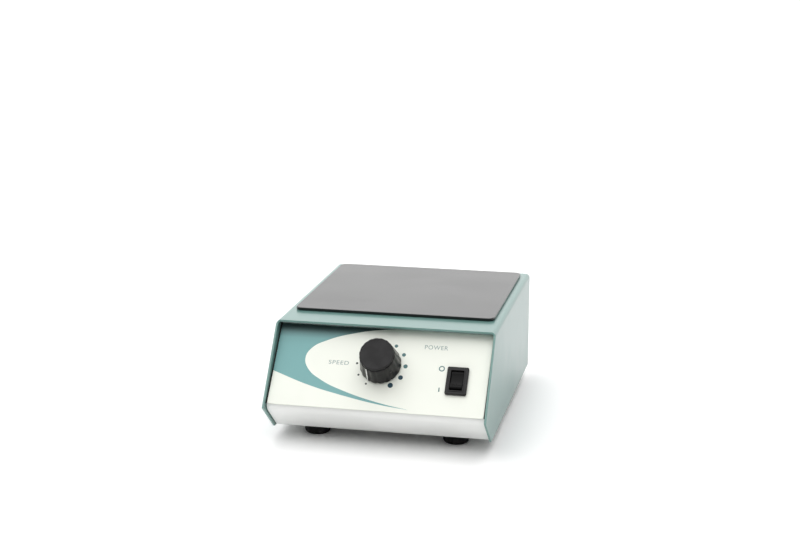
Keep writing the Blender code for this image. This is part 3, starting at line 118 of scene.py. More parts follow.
class StirrerCaseSizes(PropertyGroup):
    """Sizes of the folded case and the plate."""

    cover_sheet: measure("Cover sheet", "Thickness of the cover", 1.6, 0.5)
    cover_bend: measure("Cover bend", "Outer radius of the cover's folds", 3.2, 1)
    nose_height: measure("Nose height", "Foremost corner above the lower edge", 22)
    top_setback: measure("Top setback", "Top front edge behind the nose", 40)
    bottom_setback: measure("Bottom setback", "Lower front corner behind the nose", 26)
    chassis_sheet: measure("Chassis sheet", "Thickness of the chassis", 1.5, 0.5)
    nose_bend: measure("Nose bend", "Outer radius of the fold between panel and chin", 6)
    pan_bend: measure("Pan bend", "Outer radius of the other chassis folds", 3)
    edge_ease: measure("Edge ease", "Roundness of painted sheet edges", 0.3)
    plate_corner: measure("Plate corner", "Corner radius of the top plate", 5)


class StirrerControlSizes(PropertyGroup):
    """Sizes of the knob, its scale and the power switch."""

    knob_radius: measure("Knob radius", "Radius at the knob's foot", 14.9)
    knob_top_radius: measure("Knob top radius", "Radius under the cap", 12.6)
    knob_flutes: IntProperty(name="Knob flutes", description="Shallow hollows round the grip", default=18,
                             min=6, max=60)
    flute_depth: measure("Flute depth", "Depth of each hollow", 0.35)
    dot_circle: measure("Dot circle", "Radius of the circle of speed dots", 17.55)
    smallest_dot: measure("Smallest dot", "Radius of the slowest speed's dot", 0.75)
    largest_dot: measure("Largest dot", "Radius of the fastest speed's dot", 1.9)
    bezel_width: measure("Bezel width", "Power switch bezel, across", 15.2)
    bezel_height: measure("Bezel height", "Power switch bezel, up the panel", 20.9)
    speed_text: StringProperty(name="Speed label", description="Word beside the knob", default="SPEED")
    power_text: StringProperty(name="Power label", description="Word above the switch", default="POWER")


class StirrerColours(PropertyGroup):
    """Colours of the paints, prints and mouldings."""

    cover_paint: tint("Cover paint", "Grey-green powder coat", 0.135, 0.265, 0.24)
    chassis_paint: tint("Chassis paint", "White powder coat", 0.86, 0.87, 0.85)
    film: tint("Panel film", "Warm white of the printed film", 0.87, 0.89, 0.81)
    print_teal: tint("Teal print", "Large printed field", 0.155, 0.37, 0.37)
    print_dark: tint("Dark print", "Largest speed dots", 0.006, 0.045, 0.07)
    print_middle: tint("Middle print", "Middle dots and switch marks", 0.06, 0.16, 0.16)
    print_grey: tint("Grey print", "Smallest speed dots", 0.025, 0.04, 0.035)
    print_pale: tint("Pale print", "Small words", 0.24, 0.32, 0.31)
    plate: tint("Top plate", "Black glossy plate", 0.01, 0.01, 0.0095)
    moulding: tint("Mouldings", "Dark grey plastic", 0.011, 0.0105, 0.011)


# ---------------------------------------------------------------- shader building


class Value:
    """One node output; arithmetic on it adds Math nodes."""

    def __init__(self, tree, socket):
        self.tree = tree
        self.socket = socket

    def work(self, operation, first, second):
        node = self.tree.nodes.new("ShaderNodeMath")
        node.operation = operation
        for entry, value in zip(node.inputs, (first, second)):
            if isinstance(value, Value):
                self.tree.links.new(value.socket, entry)
            else:
                entry.default_value = value
        return Value(self.tree, node.outputs[0])

    def __add__(self, other):
        return self.work("ADD", self, other)

    def __sub__(self, other):
        return self.work("SUBTRACT", self, other)

    def __rsub__(self, other):
        return self.work("SUBTRACT", other, self)

    def __mul__(self, other):
        return self.work("MULTIPLY", self, other)

    def __gt__(self, other):
        return self.work("GREATER_THAN", self, other)

    def __lt__(self, other):
        return self.work("LESS_THAN", self, other)

    def __radd__(self, other):
        return self.work("ADD", other, self)

    def __rmul__(self, other):
        return self.work("MULTIPLY", other, self)


class Shading:
    """Adds nodes to one shader tree."""

    def __init__(self, tree, shader):
        self.tree = tree
        self.shader = tree.nodes[shader]

    def feed(self, name, value):
        self.give(self.shader.inputs[name], value)

    def give(self, socket, value):
        if isinstance(value, Value):
            self.tree.links.new(value.socket, socket)
        elif socket.type == "RGBA":
            socket.default_value = (*value[:3], 1.0)
        else:
            socket.default_value = value

    def node(self, kind, settings=None, inputs=None, pick=0):
        """Add a node: its settings first, then the values or links of its sockets."""
        made = self.tree.nodes.new("ShaderNode" + kind)
        for key, value in (settings or {}).items():
            if key == "stops":
                stops = made.color_ramp.elements
                while len(stops) < len(value):
                    stops.new(0.5)
                for stop, (place, colour) in zip(stops, value):
                    stop.position = place
                    stop.color = (*colour, 1.0)
            else:
                setattr(made, key, value)
        for key, value in (inputs or {}).items():
            self.give(made.inputs[key], value)
        return Value(self.tree, made.outputs[pick])

    def ramp(self, value, low, high, start=0.0, end=1.0):
        """A smooth step between two values of the input."""
        inputs = {"Value": value, "From Min": low, "From Max": high, "To Min": start, "To Max": end}
        return self.node("MapRange", {"interpolation_type": "SMOOTHSTEP"}, inputs)


class Finish(Shading):
    """A named material with helpers for its procedural detail."""

    def __init__(self, name, colour, roughness, **fixed):
        self.material = bpy.data.materials.new(name)
        self.material.use_nodes = True
        super().__init__(self.material.node_tree, "Principled BSDF")
        self.feed("Base Color", colour)
        self.feed("Roughness", roughness)
        for key, value in fixed.items():
            self.feed(key.replace("_", " "), value)

    def here(self, scale=(1, 1, 1)):
        """Object coordinates, stretched by a scale."""
        own = self.node("TexCoord", pick="Object")
        return self.node("Mapping", inputs={"Vector": own, "Scale": scale})

    def axis(self, name):
        """One of the object coordinates, as a number."""
        return self.node("SeparateXYZ", inputs={"Vector": self.here()}, pick=name)

    def noise(self, size, detail=3.0, stretch=(1, 1, 1)):
        """Noise from 0 to 1 whose features are about one size across, in metres."""
        inputs = {"Vector": self.here(stretch), "Scale": 1.0 / size, "Detail": detail}
        return self.node("TexNoise", inputs=inputs, pick="Fac")

    def mix(self, share, first, second):
        """A colour between two colours."""
        return self.node("Mix", {"data_type": "RGBA"}, {0: share, 6: first, 7: second}, pick=2)

    def bump(self, height, distance, strength=1.0):
        """Relief from a height between 0 and 1."""
        inputs = {"Height": height, "Distance": distance, "Strength": strength}
        self.feed("Normal", self.node("Bump", inputs=inputs, pick="Normal"))


def shade(colour, amount):
    """A colour made darker or lighter."""
    return tuple(min(1.0, channel * amount) for channel in colour)


FINISHES = {}


def powder_coat(name, colour, roughness, coat):
    """Baked paint with a faint orange peel and a slight change of tone."""
    finish = Finish(name, colour, roughness, Coat_Roughness=0.12, IOR=1.5)
    finish.feed("Coat Weight", coat)
    cloud = finish.noise(55 * MM, 2.0)
    speck = finish.noise(0.5 * MM, 2.0)
    tone = finish.ramp(cloud * 0.9 + speck * 0.1, 0.3, 0.7)
    finish.feed("Base Color", finish.mix(tone, shade(colour, 0.97), shade(colour, 1.03)))
    finish.feed("Roughness", finish.ramp(cloud, 0.3, 0.7, roughness - 0.03, roughness + 0.04))
    finish.bump(finish.noise(2.2 * MM, 1.0), 0.004 * MM, 0.25)
    return finish


def moulded_plastic(name, colour, roughness, grain=0.35 * MM, relief=0.02 * MM, gloss=0.5):
    """Moulded plastic with a fine spark-eroded grain and a few polished spots."""
    finish = Finish(name, colour, roughness, IOR=1.46, Specular_IOR_Level=gloss)
    grit = finish.noise(grain, 3.0)
    wear = finish.noise(9 * MM, 3.0)
    tone = finish.ramp(grit, 0.35, 0.65)
    finish.feed("Base Color", finish.mix(tone, shade(colour, 0.86), shade(colour, 1.16)))
    finish.feed("Roughness", finish.ramp(wear, 0.35, 0.7, roughness - 0.08, roughness + 0.06))
    finish.bump(grit, relief, 0.6)
    return finish


def worked_metal(name, colour, roughness, grain=0.25 * MM, stretch=(1, 1, 1), tarnish=0.8):
    """Bare or plated metal with fine working marks and faint tarnish."""
    finish = Finish(name, colour, roughness, Metallic=1.0)
    marks = finish.noise(grain, 3.0, stretch)
    stain = finish.noise(6 * MM, 4.0)
    finish.feed("Base Color", finish.mix(finish.ramp(stain, 0.35, 0.75), colour, shade(colour, tarnish)))
    worn = stain * 0.6 + marks * 0.4
    finish.feed("Roughness", finish.ramp(worn, 0.3, 0.7, roughness - 0.07, roughness + 0.12))
    finish.bump(marks, 0.01 * MM, 0.5)
    return finish


def film_print(name, colour, roughness=0.42, deep=None):
    """Screen print under a matt film, with the film's fine grain."""
    finish = Finish(name, colour, roughness, IOR=1.5)
    grit = finish.noise(0.18 * MM, 2.0)
    drift = finish.noise(40 * MM, 2.0)
    finish.feed("Base Color", finish.mix(finish.ramp(drift, 0.3, 0.7), deep or shade(colour, 0.97), colour))
    finish.feed("Roughness", finish.ramp(grit, 0.3, 0.7, roughness - 0.04, roughness + 0.05))
    finish.bump(grit, 0.006 * MM, 0.5)
    return finish


def print_with_painted_shade(name, colour):
    """The large printed field: even over the panel, with painted shade deepening it towards its upper edge,
    under the cover's overhang.
    """
    finish = film_print(name, colour)
    height = finish.node("VectorMath", {"operation": "DOT_PRODUCT"}, {0: finish.here(), 1: PANEL_UP},
                         pick="Value")
    up = height - PANEL_FRAME.translation.dot(PANEL_UP)
    # Painted shade: from 50 to 64 mm up the panel the colour darkens, standing for the overhang's shadow.
    depth = finish.node("MapRange", inputs={"Value": up, "From Min": 50 * MM, "From Max": 64 * MM})
    stops = ((0.0, colour), (0.38, shade(colour, 0.93)), (0.62, shade(colour, 0.64)),
             (0.82, shade(colour, 0.28)), (1.0, shade(colour, 0.1)))
    field = finish.node("ValToRGB", {"stops": stops}, {"Fac": depth}, pick="Color")
    speck = finish.noise(0.18 * MM, 2.0)
    finish.feed("Base Color", finish.mix(finish.ramp(speck, 0.3, 0.7) * 0.06, field, (0.5, 0.6, 0.6)))
    return finish


def black_plate():
    """Hard glossy black sheet with a fine mottle."""
    colour = tuple(bpy.context.scene.stirrer_colours.plate)
    finish = Finish("plate_black_gloss", colour, 0.2, Coat_Roughness=0.06, IOR=1.5)
    finish.feed("Coat Weight", 0.12)
    mottle = finish.noise(0.9 * MM, 4.0)
    wipe = finish.noise(60 * MM, 2.0, (1, 1.3, 1))
    tone = finish.ramp(mottle, 0.35, 0.65)
    finish.feed("Base Color", finish.mix(tone, shade(colour, 0.8), shade(colour, 1.5)))
    finish.feed("Roughness", finish.ramp(wipe * 0.8 + mottle * 0.2, 0.3, 0.7, 0.2, 0.25))
    finish.bump(mottle, 0.004 * MM, 0.3)
    return finish


def circuit_board():
    """Green solder mask over copper tracks."""
    mask, track = (0.02, 0.16, 0.07), (0.045, 0.27, 0.12)
    finish = Finish("board_solder_mask", mask, 0.35)
    across = finish.node("TexWave", {"bands_direction": "X"}, {
        "Vector": finish.here(), "Scale": 95.0, "Distortion": 3.5, "Detail": 1.0, "Detail Scale": 0.6})
    tracks = finish.ramp(across, 0.55, 0.62)
    finish.feed("Base Color", finish.mix(tracks, mask, track))
    finish.feed("Roughness", 0.4 - tracks * 0.12)
    finish.bump(tracks, 0.035 * MM, 0.8)
    return finish


def stacked_core():
    """Transformer: stacked iron sheets with a taped winding through them."""
    low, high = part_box("transformer")
    middle = (low + high) / 2
    finish = Finish("transformer_core", (0.3, 0.3, 0.31), 0.45, Metallic=0.0)
    sheets = finish.node("TexWave", {"bands_direction": "Z"}, {"Vector": finish.here(), "Scale": 330.0})
    offset = finish.axis("Y") - middle.y
    winding = (offset * offset) > (14.2 * MM) ** 2
    iron = finish.mix(sheets, (0.2, 0.2, 0.21), (0.42, 0.42, 0.43))
    finish.feed("Base Color", finish.mix(winding, iron, (0.55, 0.36, 0.06)))
    finish.feed("Metallic", (1 - winding) * 0.8)
    finish.bump(sheets, 0.05 * MM, 0.6)
    return finish


def clear_glass():
    """Thin glass of the fuse, with its plated ends."""
    low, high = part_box("fuse")
    finish = Finish("fuse_glass_and_caps", (0.85, 0.88, 0.88), 0.08, IOR=1.5)
    along = finish.axis("Y")
    reach = 5.2 * MM
    cap = (along < low.y + reach) + (along > high.y - reach)
    finish.feed("Base Color", finish.mix(cap, (0.5, 0.53, 0.53), (0.78, 0.77, 0.74)))
    finish.feed("Metallic", cap)
    finish.feed("Roughness", 0.08 + cap * 0.2)
    finish.bump(cap, 0.1 * MM, 0.6)
    return finish


def make_finishes():
    """Every material, by a plain name."""
    colours = bpy.context.scene.stirrer_colours
    moulding = tuple(colours.moulding)
    made = {
        "cover_paint": powder_coat("cover_powder_coat", tuple(colours.cover_paint), 0.32, 0.3),
        "chassis_paint": powder_coat("chassis_powder_coat", tuple(colours.chassis_paint), 0.42, 0.15),
        "film": film_print("panel_film", tuple(colours.film)),
        "teal_ink_painted_shade": print_with_painted_shade("teal_print_painted_shade", tuple(colours.print_teal)),
        "dark_ink": film_print("dark_print", tuple(colours.print_dark), 0.4),
        "middle_ink": film_print("middle_print", tuple(colours.print_middle), 0.4),
        "grey_ink": film_print("grey_print", tuple(colours.print_grey), 0.4),
        "pale_ink": film_print("pale_print", tuple(colours.print_pale), 0.4),
        "plate": black_plate(),
        # The grip's colour is darker than the cap's, from the same moulding: painted shade for the shade on
        # the knob's sides.
        "knob": moulded_plastic("knob_plastic_painted_shade", shade(moulding, 0.75), 0.34, gloss=0.28),
        "knob_top": moulded_plastic("knob_cap_plastic", shade(moulding, 1.1), 0.62, gloss=0.35),
        "pointer": moulded_plastic("pointer_white", (0.82, 0.83, 0.8), 0.4),
        "switch": moulded_plastic("switch_plastic", shade(moulding, 0.7), 0.36, 0.25 * MM, 0.01 * MM, 0.3),
        "rocker": moulded_plastic("rocker_plastic", shade(moulding, 0.3), 0.3, 0.25 * MM, 0.006 * MM, 0.12),
        "inlet": moulded_plastic("inlet_plastic", shade(moulding, 0.6), 0.42),
        "rubber": moulded_plastic("foot_rubber", (0.008, 0.008, 0.008), 0.72, 0.6 * MM, 0.04 * MM, 0.25),
        "pad": moulded_plastic("pad_foam", (0.012, 0.012, 0.012), 0.85, 0.5 * MM, 0.05 * MM),
        "zinc": worked_metal("zinc_plate", (0.66, 0.67, 0.68), 0.32),
        "steel": worked_metal("bright_steel", (0.58, 0.58, 0.57), 0.3, 0.4 * MM, (1, 1, 8)),
        "brass": worked_metal("nickel_brass", (0.72, 0.58, 0.34), 0.28),
        "aluminium": worked_metal("machined_aluminium", (0.76, 0.77, 0.78), 0.34, 0.3 * MM, (1, 8, 8)),
        "magnet": worked_metal("nickel_magnet", (0.62, 0.61, 0.58), 0.18, 0.5 * MM, (1, 1, 1), 0.9),
        "board": circuit_board(),
        "transformer": stacked_core(),
        "glass": clear_glass(),
        "nylon": moulded_plastic("nylon_natural", (0.78, 0.77, 0.71), 0.5),
        "blue_sleeve": moulded_plastic("capacitor_sleeve", (0.03, 0.08, 0.32), 0.35),
        "green_block": moulded_plastic("terminal_green", (0.03, 0.3, 0.13), 0.45),
        "brown_wire": moulded_plastic("brown_wire_skin", (0.16, 0.065, 0.03), 0.42),
        "red_wire": moulded_plastic("red_wire_skin", (0.46, 0.02, 0.02), 0.42),
        "grey_wire": moulded_plastic("grey_wire_skin", (0.26, 0.26, 0.27), 0.42),
        "earth_wire": moulded_plastic("earth_wire_skin", (0.2, 0.42, 0.04), 0.42),
    }
    FINISHES.update({name: finish.material for name, finish in made.items()})


# ---------------------------------------------------------------- mesh building


def merge_into(bm, other, place=None):
    """Add a second bmesh to a first, and free it."""
    if place is not None:
        other.transform(place)
    mesh = bpy.data.meshes.new("merged")
    other.to_mesh(mesh)
    other.free()
    bm.from_mesh(mesh)
    bpy.data.meshes.remove(mesh)
    return bm


def raise_faces(bm, reach):
    """Give flat faces a thickness, with the new skin pointing outwards."""
    grown = bmesh.ops.extrude_face_region(bm, geom=bm.faces[:])
    moved = [item for item in grown["geom"] if isinstance(item, bmesh.types.BMVert)]
    bmesh.ops.translate(bm, verts=moved, vec=reach)
    bmesh.ops.recalc_face_normals(bm, faces=bm.faces)
    return bm


def slab(width, depth, low, high, corner=0.0, steps=6, centre=(0, 0)):
    """A flat block between two heights, with round corners."""
    bm = bmesh.new()
    bmesh.ops.create_grid(bm, x_segments=1, y_segments=1, size=0.5)
    bmesh.ops.scale(bm, verts=bm.verts, vec=(width, depth, 1))
    bmesh.ops.translate(bm, verts=bm.verts, vec=(*centre, low))
    if corner:
        bmesh.ops.bevel(bm, geom=bm.verts[:], offset=corner, offset_type="OFFSET", segments=steps,
                        profile=0.5, affect="VERTICES", material=-1)
    return raise_faces(bm, (0, 0, high - low))


def prism(outline, low, high):
    """A closed outline in the XY plane, raised between two heights."""
    bm = bmesh.new()
    bm.faces.new([bm.verts.new((x, y, low)) for x, y in outline])
    return raise_faces(bm, (0, 0, high - low))


def turned(profile, steps):
    """(radius, height) points spun about Z: closed on the axis where both ends lie on it, else a ring."""
    bm = bmesh.new()
    verts = [bm.verts.new((radius, 0, height)) for radius, height in profile]
    solid = profile[0][0] == 0 and profile[-1][0] == 0
    ends = verts[1:] if solid else verts[1:] + verts[:1]
    edges = [bm.edges.new(pair) for pair in zip(verts, ends)]
    bmesh.ops.spin(bm, geom=verts + edges, cent=(0, 0, 0), axis=(0, 0, 1), angle=math.tau, steps=steps,
                   use_merge=True)
    bmesh.ops.remove_doubles(bm, verts=bm.verts, dist=0.001 * MM)
    bmesh.ops.recalc_face_normals(bm, faces=bm.faces)
    return bm


def drill(radius, low, high, steps):
    """A round cutter about Z."""
    return turned([(0, low), (radius, low), (radius, high), (0, high)], steps)


def upper_rim(level):
    """Picks the edges that lie above a level."""
    return lambda edge: all(vert.co.z > level for vert in edge.verts)


def ease(bm, width, segments=2, angle=math.radians(40), chosen=None):
    """Round the edges whose faces meet at more than an angle."""
    edges = [edge for edge in bm.edges if edge.is_manifold and edge.calc_face_angle(0) > angle
             and (chosen is None or chosen(edge))]
    bmesh.ops.bevel(bm, geom=edges, offset=width, offset_type="OFFSET", segments=segments, profile=0.5,
                    affect="EDGES", material=-1, clamp_overlap=True)
    return bm


def folded_sheet(line, span, radii, thickness, segments=12, trims=()):
    """Sheet metal along a bent line, each fold round on its outer radius, then trimmed and given its
    thickness on the inner side."""
    bm = bmesh.new()
    verts = [bm.verts.new(point) for point in line]
    edges = [bm.edges.new(pair) for pair in zip(verts, verts[1:])]
    grown = bmesh.ops.extrude_edge_only(bm, edges=edges)
    moved = [item for item in grown["geom"] if isinstance(item, bmesh.types.BMVert)]
    bmesh.ops.translate(bm, verts=moved, vec=span)
    for before, corner, after, radius in zip(line, line[1:], line[2:], radii):
        turn = (corner - before).angle(after - corner)
        ends = (corner, corner + span)
        fold = [edge for edge in bm.edges
                if all(min((vert.co - end).length for end in ends) < NEAR for vert in edge.verts)]
        bmesh.ops.bevel(bm, geom=fold, offset=radius * math.tan(turn / 2), offset_type="OFFSET",
                        segments=segments, profile=0.5, affect="EDGES", material=-1)
    for point, away in trims:
        bmesh.ops.bisect_plane(bm, geom=bm.verts[:] + bm.edges[:] + bm.faces[:], plane_co=point,
                               plane_no=away, clear_outer=True)
    bmesh.ops.recalc_face_normals(bm, faces=bm.faces)
    bm.faces.ensure_lookup_table()
    middle = sum((face.calc_center_median() for face in bm.faces), Vector()) / len(bm.faces)
    widest = max(bm.faces, key=lambda face: face.calc_area())
    if widest.normal.dot(widest.calc_center_median() - middle) < 0:
        bmesh.ops.reverse_faces(bm, faces=bm.faces)
    bmesh.ops.solidify(bm, geom=bm.faces[:], thickness=thickness)
    bmesh.ops.recalc_face_normals(bm, faces=bm.faces)
    return bm


def new_object(name, bm):
    """A mesh object from a bmesh, which is freed."""
    mesh = bpy.data.meshes.new(name)
    bm.to_mesh(mesh)
    bm.free()
    item = bpy.data.objects.new(name, mesh)
    bpy.context.scene.collection.objects.link(item)
    return item


def carve(item, tool_form, operation="DIFFERENCE"):
    """Cut a bmesh's volume out of an object, or join it on."""
    tool = new_object(item.name + "_tool", tool_form)
    modifier = item.modifiers.new("shape", "BOOLEAN")
    modifier.operation = operation
    modifier.solver = "EXACT"
    modifier.object = tool
    depsgraph = bpy.context.evaluated_depsgraph_get()
    shaped = bpy.data.meshes.new_from_object(item.evaluated_get(depsgraph))
    item.modifiers.clear()
    old = item.data
    item.data = shaped
    bpy.data.meshes.remove(old)
    bpy.data.objects.remove(tool, do_unlink=True)


def taken_back(item):
    """The bmesh of a working object, which is removed."""
    bm = bmesh.new()
    bm.from_mesh(item.data)
    bpy.data.objects.remove(item, do_unlink=True)
    return bm


def joined(name, bm, other):
    """Two solid bmeshes made into one closed skin."""
    item = new_object(name, bm)
    carve(item, other, "UNION")
    return taken_back(item)


def add_piece(name, bm, finish, body="body", stands_for=(), place=None, cutter=None, sharp=35):
    """Finish a bmesh as a piece that rides on a body and takes the place of CAD nodes."""
    if place is not None:
        bm.transform(place)
        if cutter is not None:
            cutter.transform(place)
    item = new_object(name, bm)
    if cutter is not None:
        carve(item, cutter)
    item.data.materials.clear()
    item.data.materials.append(FINISHES[finish])
    item.data.shade_smooth()
    item.data.set_sharp_from_angle(angle=math.radians(sharp))
    if not item.data.polygons:
        raise RuntimeError(name + " came out empty")
    normals = item.modifiers.new("flat faces stay flat", "WEIGHTED_NORMAL")
    normals.keep_sharp = True
    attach(item, body)
    if stands_for:
        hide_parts(*stands_for)
    return item


# ---------------------------------------------------------------- case


def chassis_line(case):
    """Outer line of the chassis sheet, from the panel's upper lip round to the rear lip."""
    film = 0.6 * MM            # printed face to the sheet under it
    lip = 10 * MM
    corner = PANEL_FRAME @ Vector((0, 0, -film))
    top = CHASSIS_HIGH.z
    along = (top - corner.z) / PANEL_UP.z
    panel_top = corner + PANEL_UP * along
    chin = COVER_LOW.y + case.bottom_setback + 2.5 * MM
    points = [(panel_top.y + lip, top), (panel_top.y, top), (corner.y, corner.z), (chin, CHASSIS_LOW.z),
              (CHASSIS_HIGH.y, CHASSIS_LOW.z), (CHASSIS_HIGH.y, top), (CHASSIS_HIGH.y - lip, top)]
    return [Vector((CHASSIS_LOW.x, y, z)) for y, z in points]


def base_places(prefix):
    """Centres of the CAD screws of one kind."""
    places = []
    for name in frame["nodes"]:
        if name.startswith(prefix):
            low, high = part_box(name)
            places.append((low + high) / 2)
    return places


class STIRRER_OT_cover(Operator):
    """Build the folded cover with its slanted front edges and screw tabs"""

    bl_idname = "stirrer.cover"
    bl_label = "Cover"

    def execute(self, context):
        case = context.scene.stirrer_case
        low, high = COVER_LOW, COVER_HIGH
        line = [Vector(point) for point in ((high.x, low.y, low.z), (high.x, low.y, high.z),
                                            (low.x, low.y, high.z), (low.x, low.y, low.z))]
        nose = Vector((0, low.y, low.z + case.nose_height))
        top = Vector((0, low.y + case.top_setback, high.z))
        bottom = Vector((0, low.y + case.bottom_setback, low.z))
        trims = [(nose, (top - nose).cross(WORLD_X)), (nose, WORLD_X.cross(bottom - nose))]
        trims = [(point, away if away.y < 0 else -away) for point, away in trims]
        bm = folded_sheet(line, Vector((0, high.y - low.y, 0)), (case.cover_bend, case.cover_bend),
                          case.cover_sheet, 14, trims)
        ease(bm, case.edge_ease)
        add_piece("cover_shell", bm, "cover_paint", stands_for=["cover"])

        tabs = bmesh.new()
        reach, width, rise = 12 * MM, 12 * MM, 11 * MM
        floor = CHASSIS_LOW.z + case.chassis_sheet + 0.05 * MM
        for centre in base_places("cover_screw_"):
            side = math.copysign(1, centre.x)
            wall = side * (high.x - case.cover_sheet - 0.05 * MM)
            points = [(wall, floor + rise), (wall, floor), (wall - side * reach, floor)]
            corner_line = [Vector((x, centre.y - width / 2, z)) for x, z in points]
            tab = folded_sheet(corner_line, Vector((0, width, 0)), (2 * MM,), case.cover_sheet, 6)
            merge_into(tabs, ease(tab, 0.25 * MM))
        holes = bmesh.new()
        for centre in base_places("cover_screw_"):
            merge_into(holes, drill(1.8 * MM, -5 * MM, 5 * MM, 20),
                       Matrix.Translation((centre.x, centre.y, floor)))
        add_piece("cover_tabs", tabs, "cover_paint", cutter=holes)
        return {"FINISHED"}


class STIRRER_OT_chassis(Operator):
    """Build the folded chassis: panel, chin, base and rear wall with its vents"""

    bl_idname = "stirrer.chassis"
    bl_label = "Chassis"

    def execute(self, context):
        case = context.scene.stirrer_case
        line = chassis_line(case)
        pan = case.pan_bend
        bm = folded_sheet(line, Vector((CHASSIS_HIGH.x - CHASSIS_LOW.x, 0, 0)),
                          (pan, case.nose_bend, pan, pan, pan), case.chassis_sheet, 12)
        ease(bm, case.edge_ease)
        cutter = bmesh.new()
        base = CHASSIS_LOW.z
        for prefix, radius in (("foot_screw_", 2.3), ("cover_screw_", 1.8), ("bracket_screw_", 2.3)):
            for centre in base_places(prefix):
                merge_into(cutter, drill(radius * MM, base - MM, base + 3 * MM, 24),
                           Matrix.Translation((centre.x, centre.y, 0)))
        rotor_y = JOINTS["rotor_spin"]["pos_m"][1]
        vent_width, vent_length, pitch = 2.5 * MM, 24 * MM, 6 * MM
        base_vents, rear_vents, rear_middle = 5, 8, -36 * MM
        for index in range(base_vents):
            vent = slab(vent_width, vent_length, base - MM, base + 3 * MM, 1.2 * MM, 5,
                        ((index - (base_vents - 1) / 2) * pitch, rotor_y))
            merge_into(cutter, vent)
        for index in range(rear_vents):
            across = rear_middle + (index - (rear_vents - 1) / 2) * pitch
            vent = slab(vent_width, vent_length, -3 * MM, MM, 1.2 * MM, 5)
            place = Vector((across, CHASSIS_HIGH.y, INLET_MIDDLE.z))
            merge_into(cutter, vent, frame_at(place, -WORLD_X, WORLD_Z))
        merge_into(cutter, drill(5.05 * MM, -4 * MM, MM, 40), KNOB_FRAME)
        merge_into(cutter, slab(13.4 * MM, 19.2 * MM, -4 * MM, MM), SWITCH_FRAME)
        merge_into(cutter, slab(28.6 * MM, 30 * MM, -4 * MM, MM), INLET_FRAME)
        for side in (-1, 1):
            merge_into(cutter, drill(1.8 * MM, -4 * MM, MM, 20),
                       INLET_FRAME @ Matrix.Translation((side * INLET_SCREW_REACH, 0, 0)))
        add_piece("chassis_pan", bm, "chassis_paint", stands_for=["chassis"], cutter=cutter)

        nuts = bmesh.new()
        seat = base + case.chassis_sheet - 0.2 * MM
        for centre in base_places("foot_screw_"):
            ring = turned([(2.3 * MM, seat), (4.2 * MM, seat), (4.2 * MM, seat + 2.6 * MM),
                           (3.8 * MM, seat + 3.1 * MM), (2.3 * MM, seat + 3.1 * MM)], 24)
            merge_into(nuts, ring, Matrix.Translation((centre.x, centre.y, 0)))
        add_piece("press_nuts", nuts, "zinc")
        return {"FINISHED"}


class STIRRER_OT_top_plate(Operator):
    """Build the black plate that vessels stand on, with its mounting pad"""

    bl_idname = "stirrer.top_plate"
    bl_label = "Top Plate"

    def execute(self, context):
        case = context.scene.stirrer_case
        low, high = PLATE_LOW, PLATE_HIGH
        middle = (low + high) / 2
        width, depth = high.x - low.x, high.y - low.y
        bm = slab(width, depth, low.z, high.z, case.plate_corner, 12, (middle.x, middle.y))
        ease(bm, 0.35 * MM, 3)
        add_piece("plate_slab", bm, "plate", stands_for=["top_plate"])
        inset = 1.2 * MM
        pad = slab(width - 2 * inset, depth - 2 * inset, COVER_HIGH.z, low.z + 0.02 * MM,
                   case.plate_corner - inset, 8, (middle.x, middle.y))
        add_piece("plate_pad", pad, "pad")
        return {"FINISHED"}


class STIRRER_OT_feet(Operator):
    """Turn the four rubber feet, with a ribbed sole and a screw well"""

    bl_idname = "stirrer.feet"
    bl_label = "Feet"

    def execute(self, context):
        for name in [name for name in frame["nodes"] if name.startswith("foot_") and "screw" not in name]:
            low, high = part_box(name)
            middle = (low + high) / 2
            radius = (high.x - low.x) / 2
            top = CHASSIS_LOW.z - 0.02 * MM
            profile = [(2.3, top / MM), (radius / MM - 0.4, top / MM), (radius / MM, top / MM - 0.5),
                       (radius / MM, top / MM - 1.6), (radius / MM - 0.25, 2.4), (radius / MM - 0.5, 1.2),
                       (radius / MM - 1.0, 0.45), (radius / MM - 1.8, 0.0), (7.0, 0.0), (6.8, 0.5),
                       (6.0, 0.5), (5.8, 0.0), (5.1, 0.0), (4.8, 0.3), (4.8, 3.4), (2.3, 3.4)]
            bm = turned([(across * MM, up * MM) for across, up in profile], 56)
            add_piece(name + "_pad", bm, "rubber", stands_for=[name],
                      place=Matrix.Translation((middle.x, middle.y, 0)))
        return {"FINISHED"}


# ---------------------------------------------------------------- screws


def screw_mesh(shank, head, rise, length, flush):
    """A cross-recess screw on the origin plane, its shank along -Z: pan head, or countersunk and flush."""
    if flush:
        profile = [(0, 0), (head - 0.15 * MM, 0), (head, -0.15 * MM), (shank, -rise)]
        crown = 0.0
    else:
        profile = [(0, rise), (head * 0.45, rise * 0.97), (head * 0.75, rise * 0.82),
                   (head * 0.93, rise * 0.55), (head, rise * 0.25), (head, 0), (shank, 0)]
        crown = rise
    profile += [(shank, -length + 0.4 * MM), (shank - 0.4 * MM, -length), (0, -length)]
    bm = turned(profile, 32)
    arm, narrow, deep = head * 0.62, 0.45 * MM, 1.1 * MM
    item = new_object("screw_form", bm)
    for quarter in (0, 1):
        arm_mesh = slab(2 * arm, 2 * narrow, crown - deep, crown + MM)
        arm_mesh.transform(Matrix.Rotation(quarter * math.pi / 2, 4, "Z"))
        carve(item, arm_mesh)
    return taken_back(item)


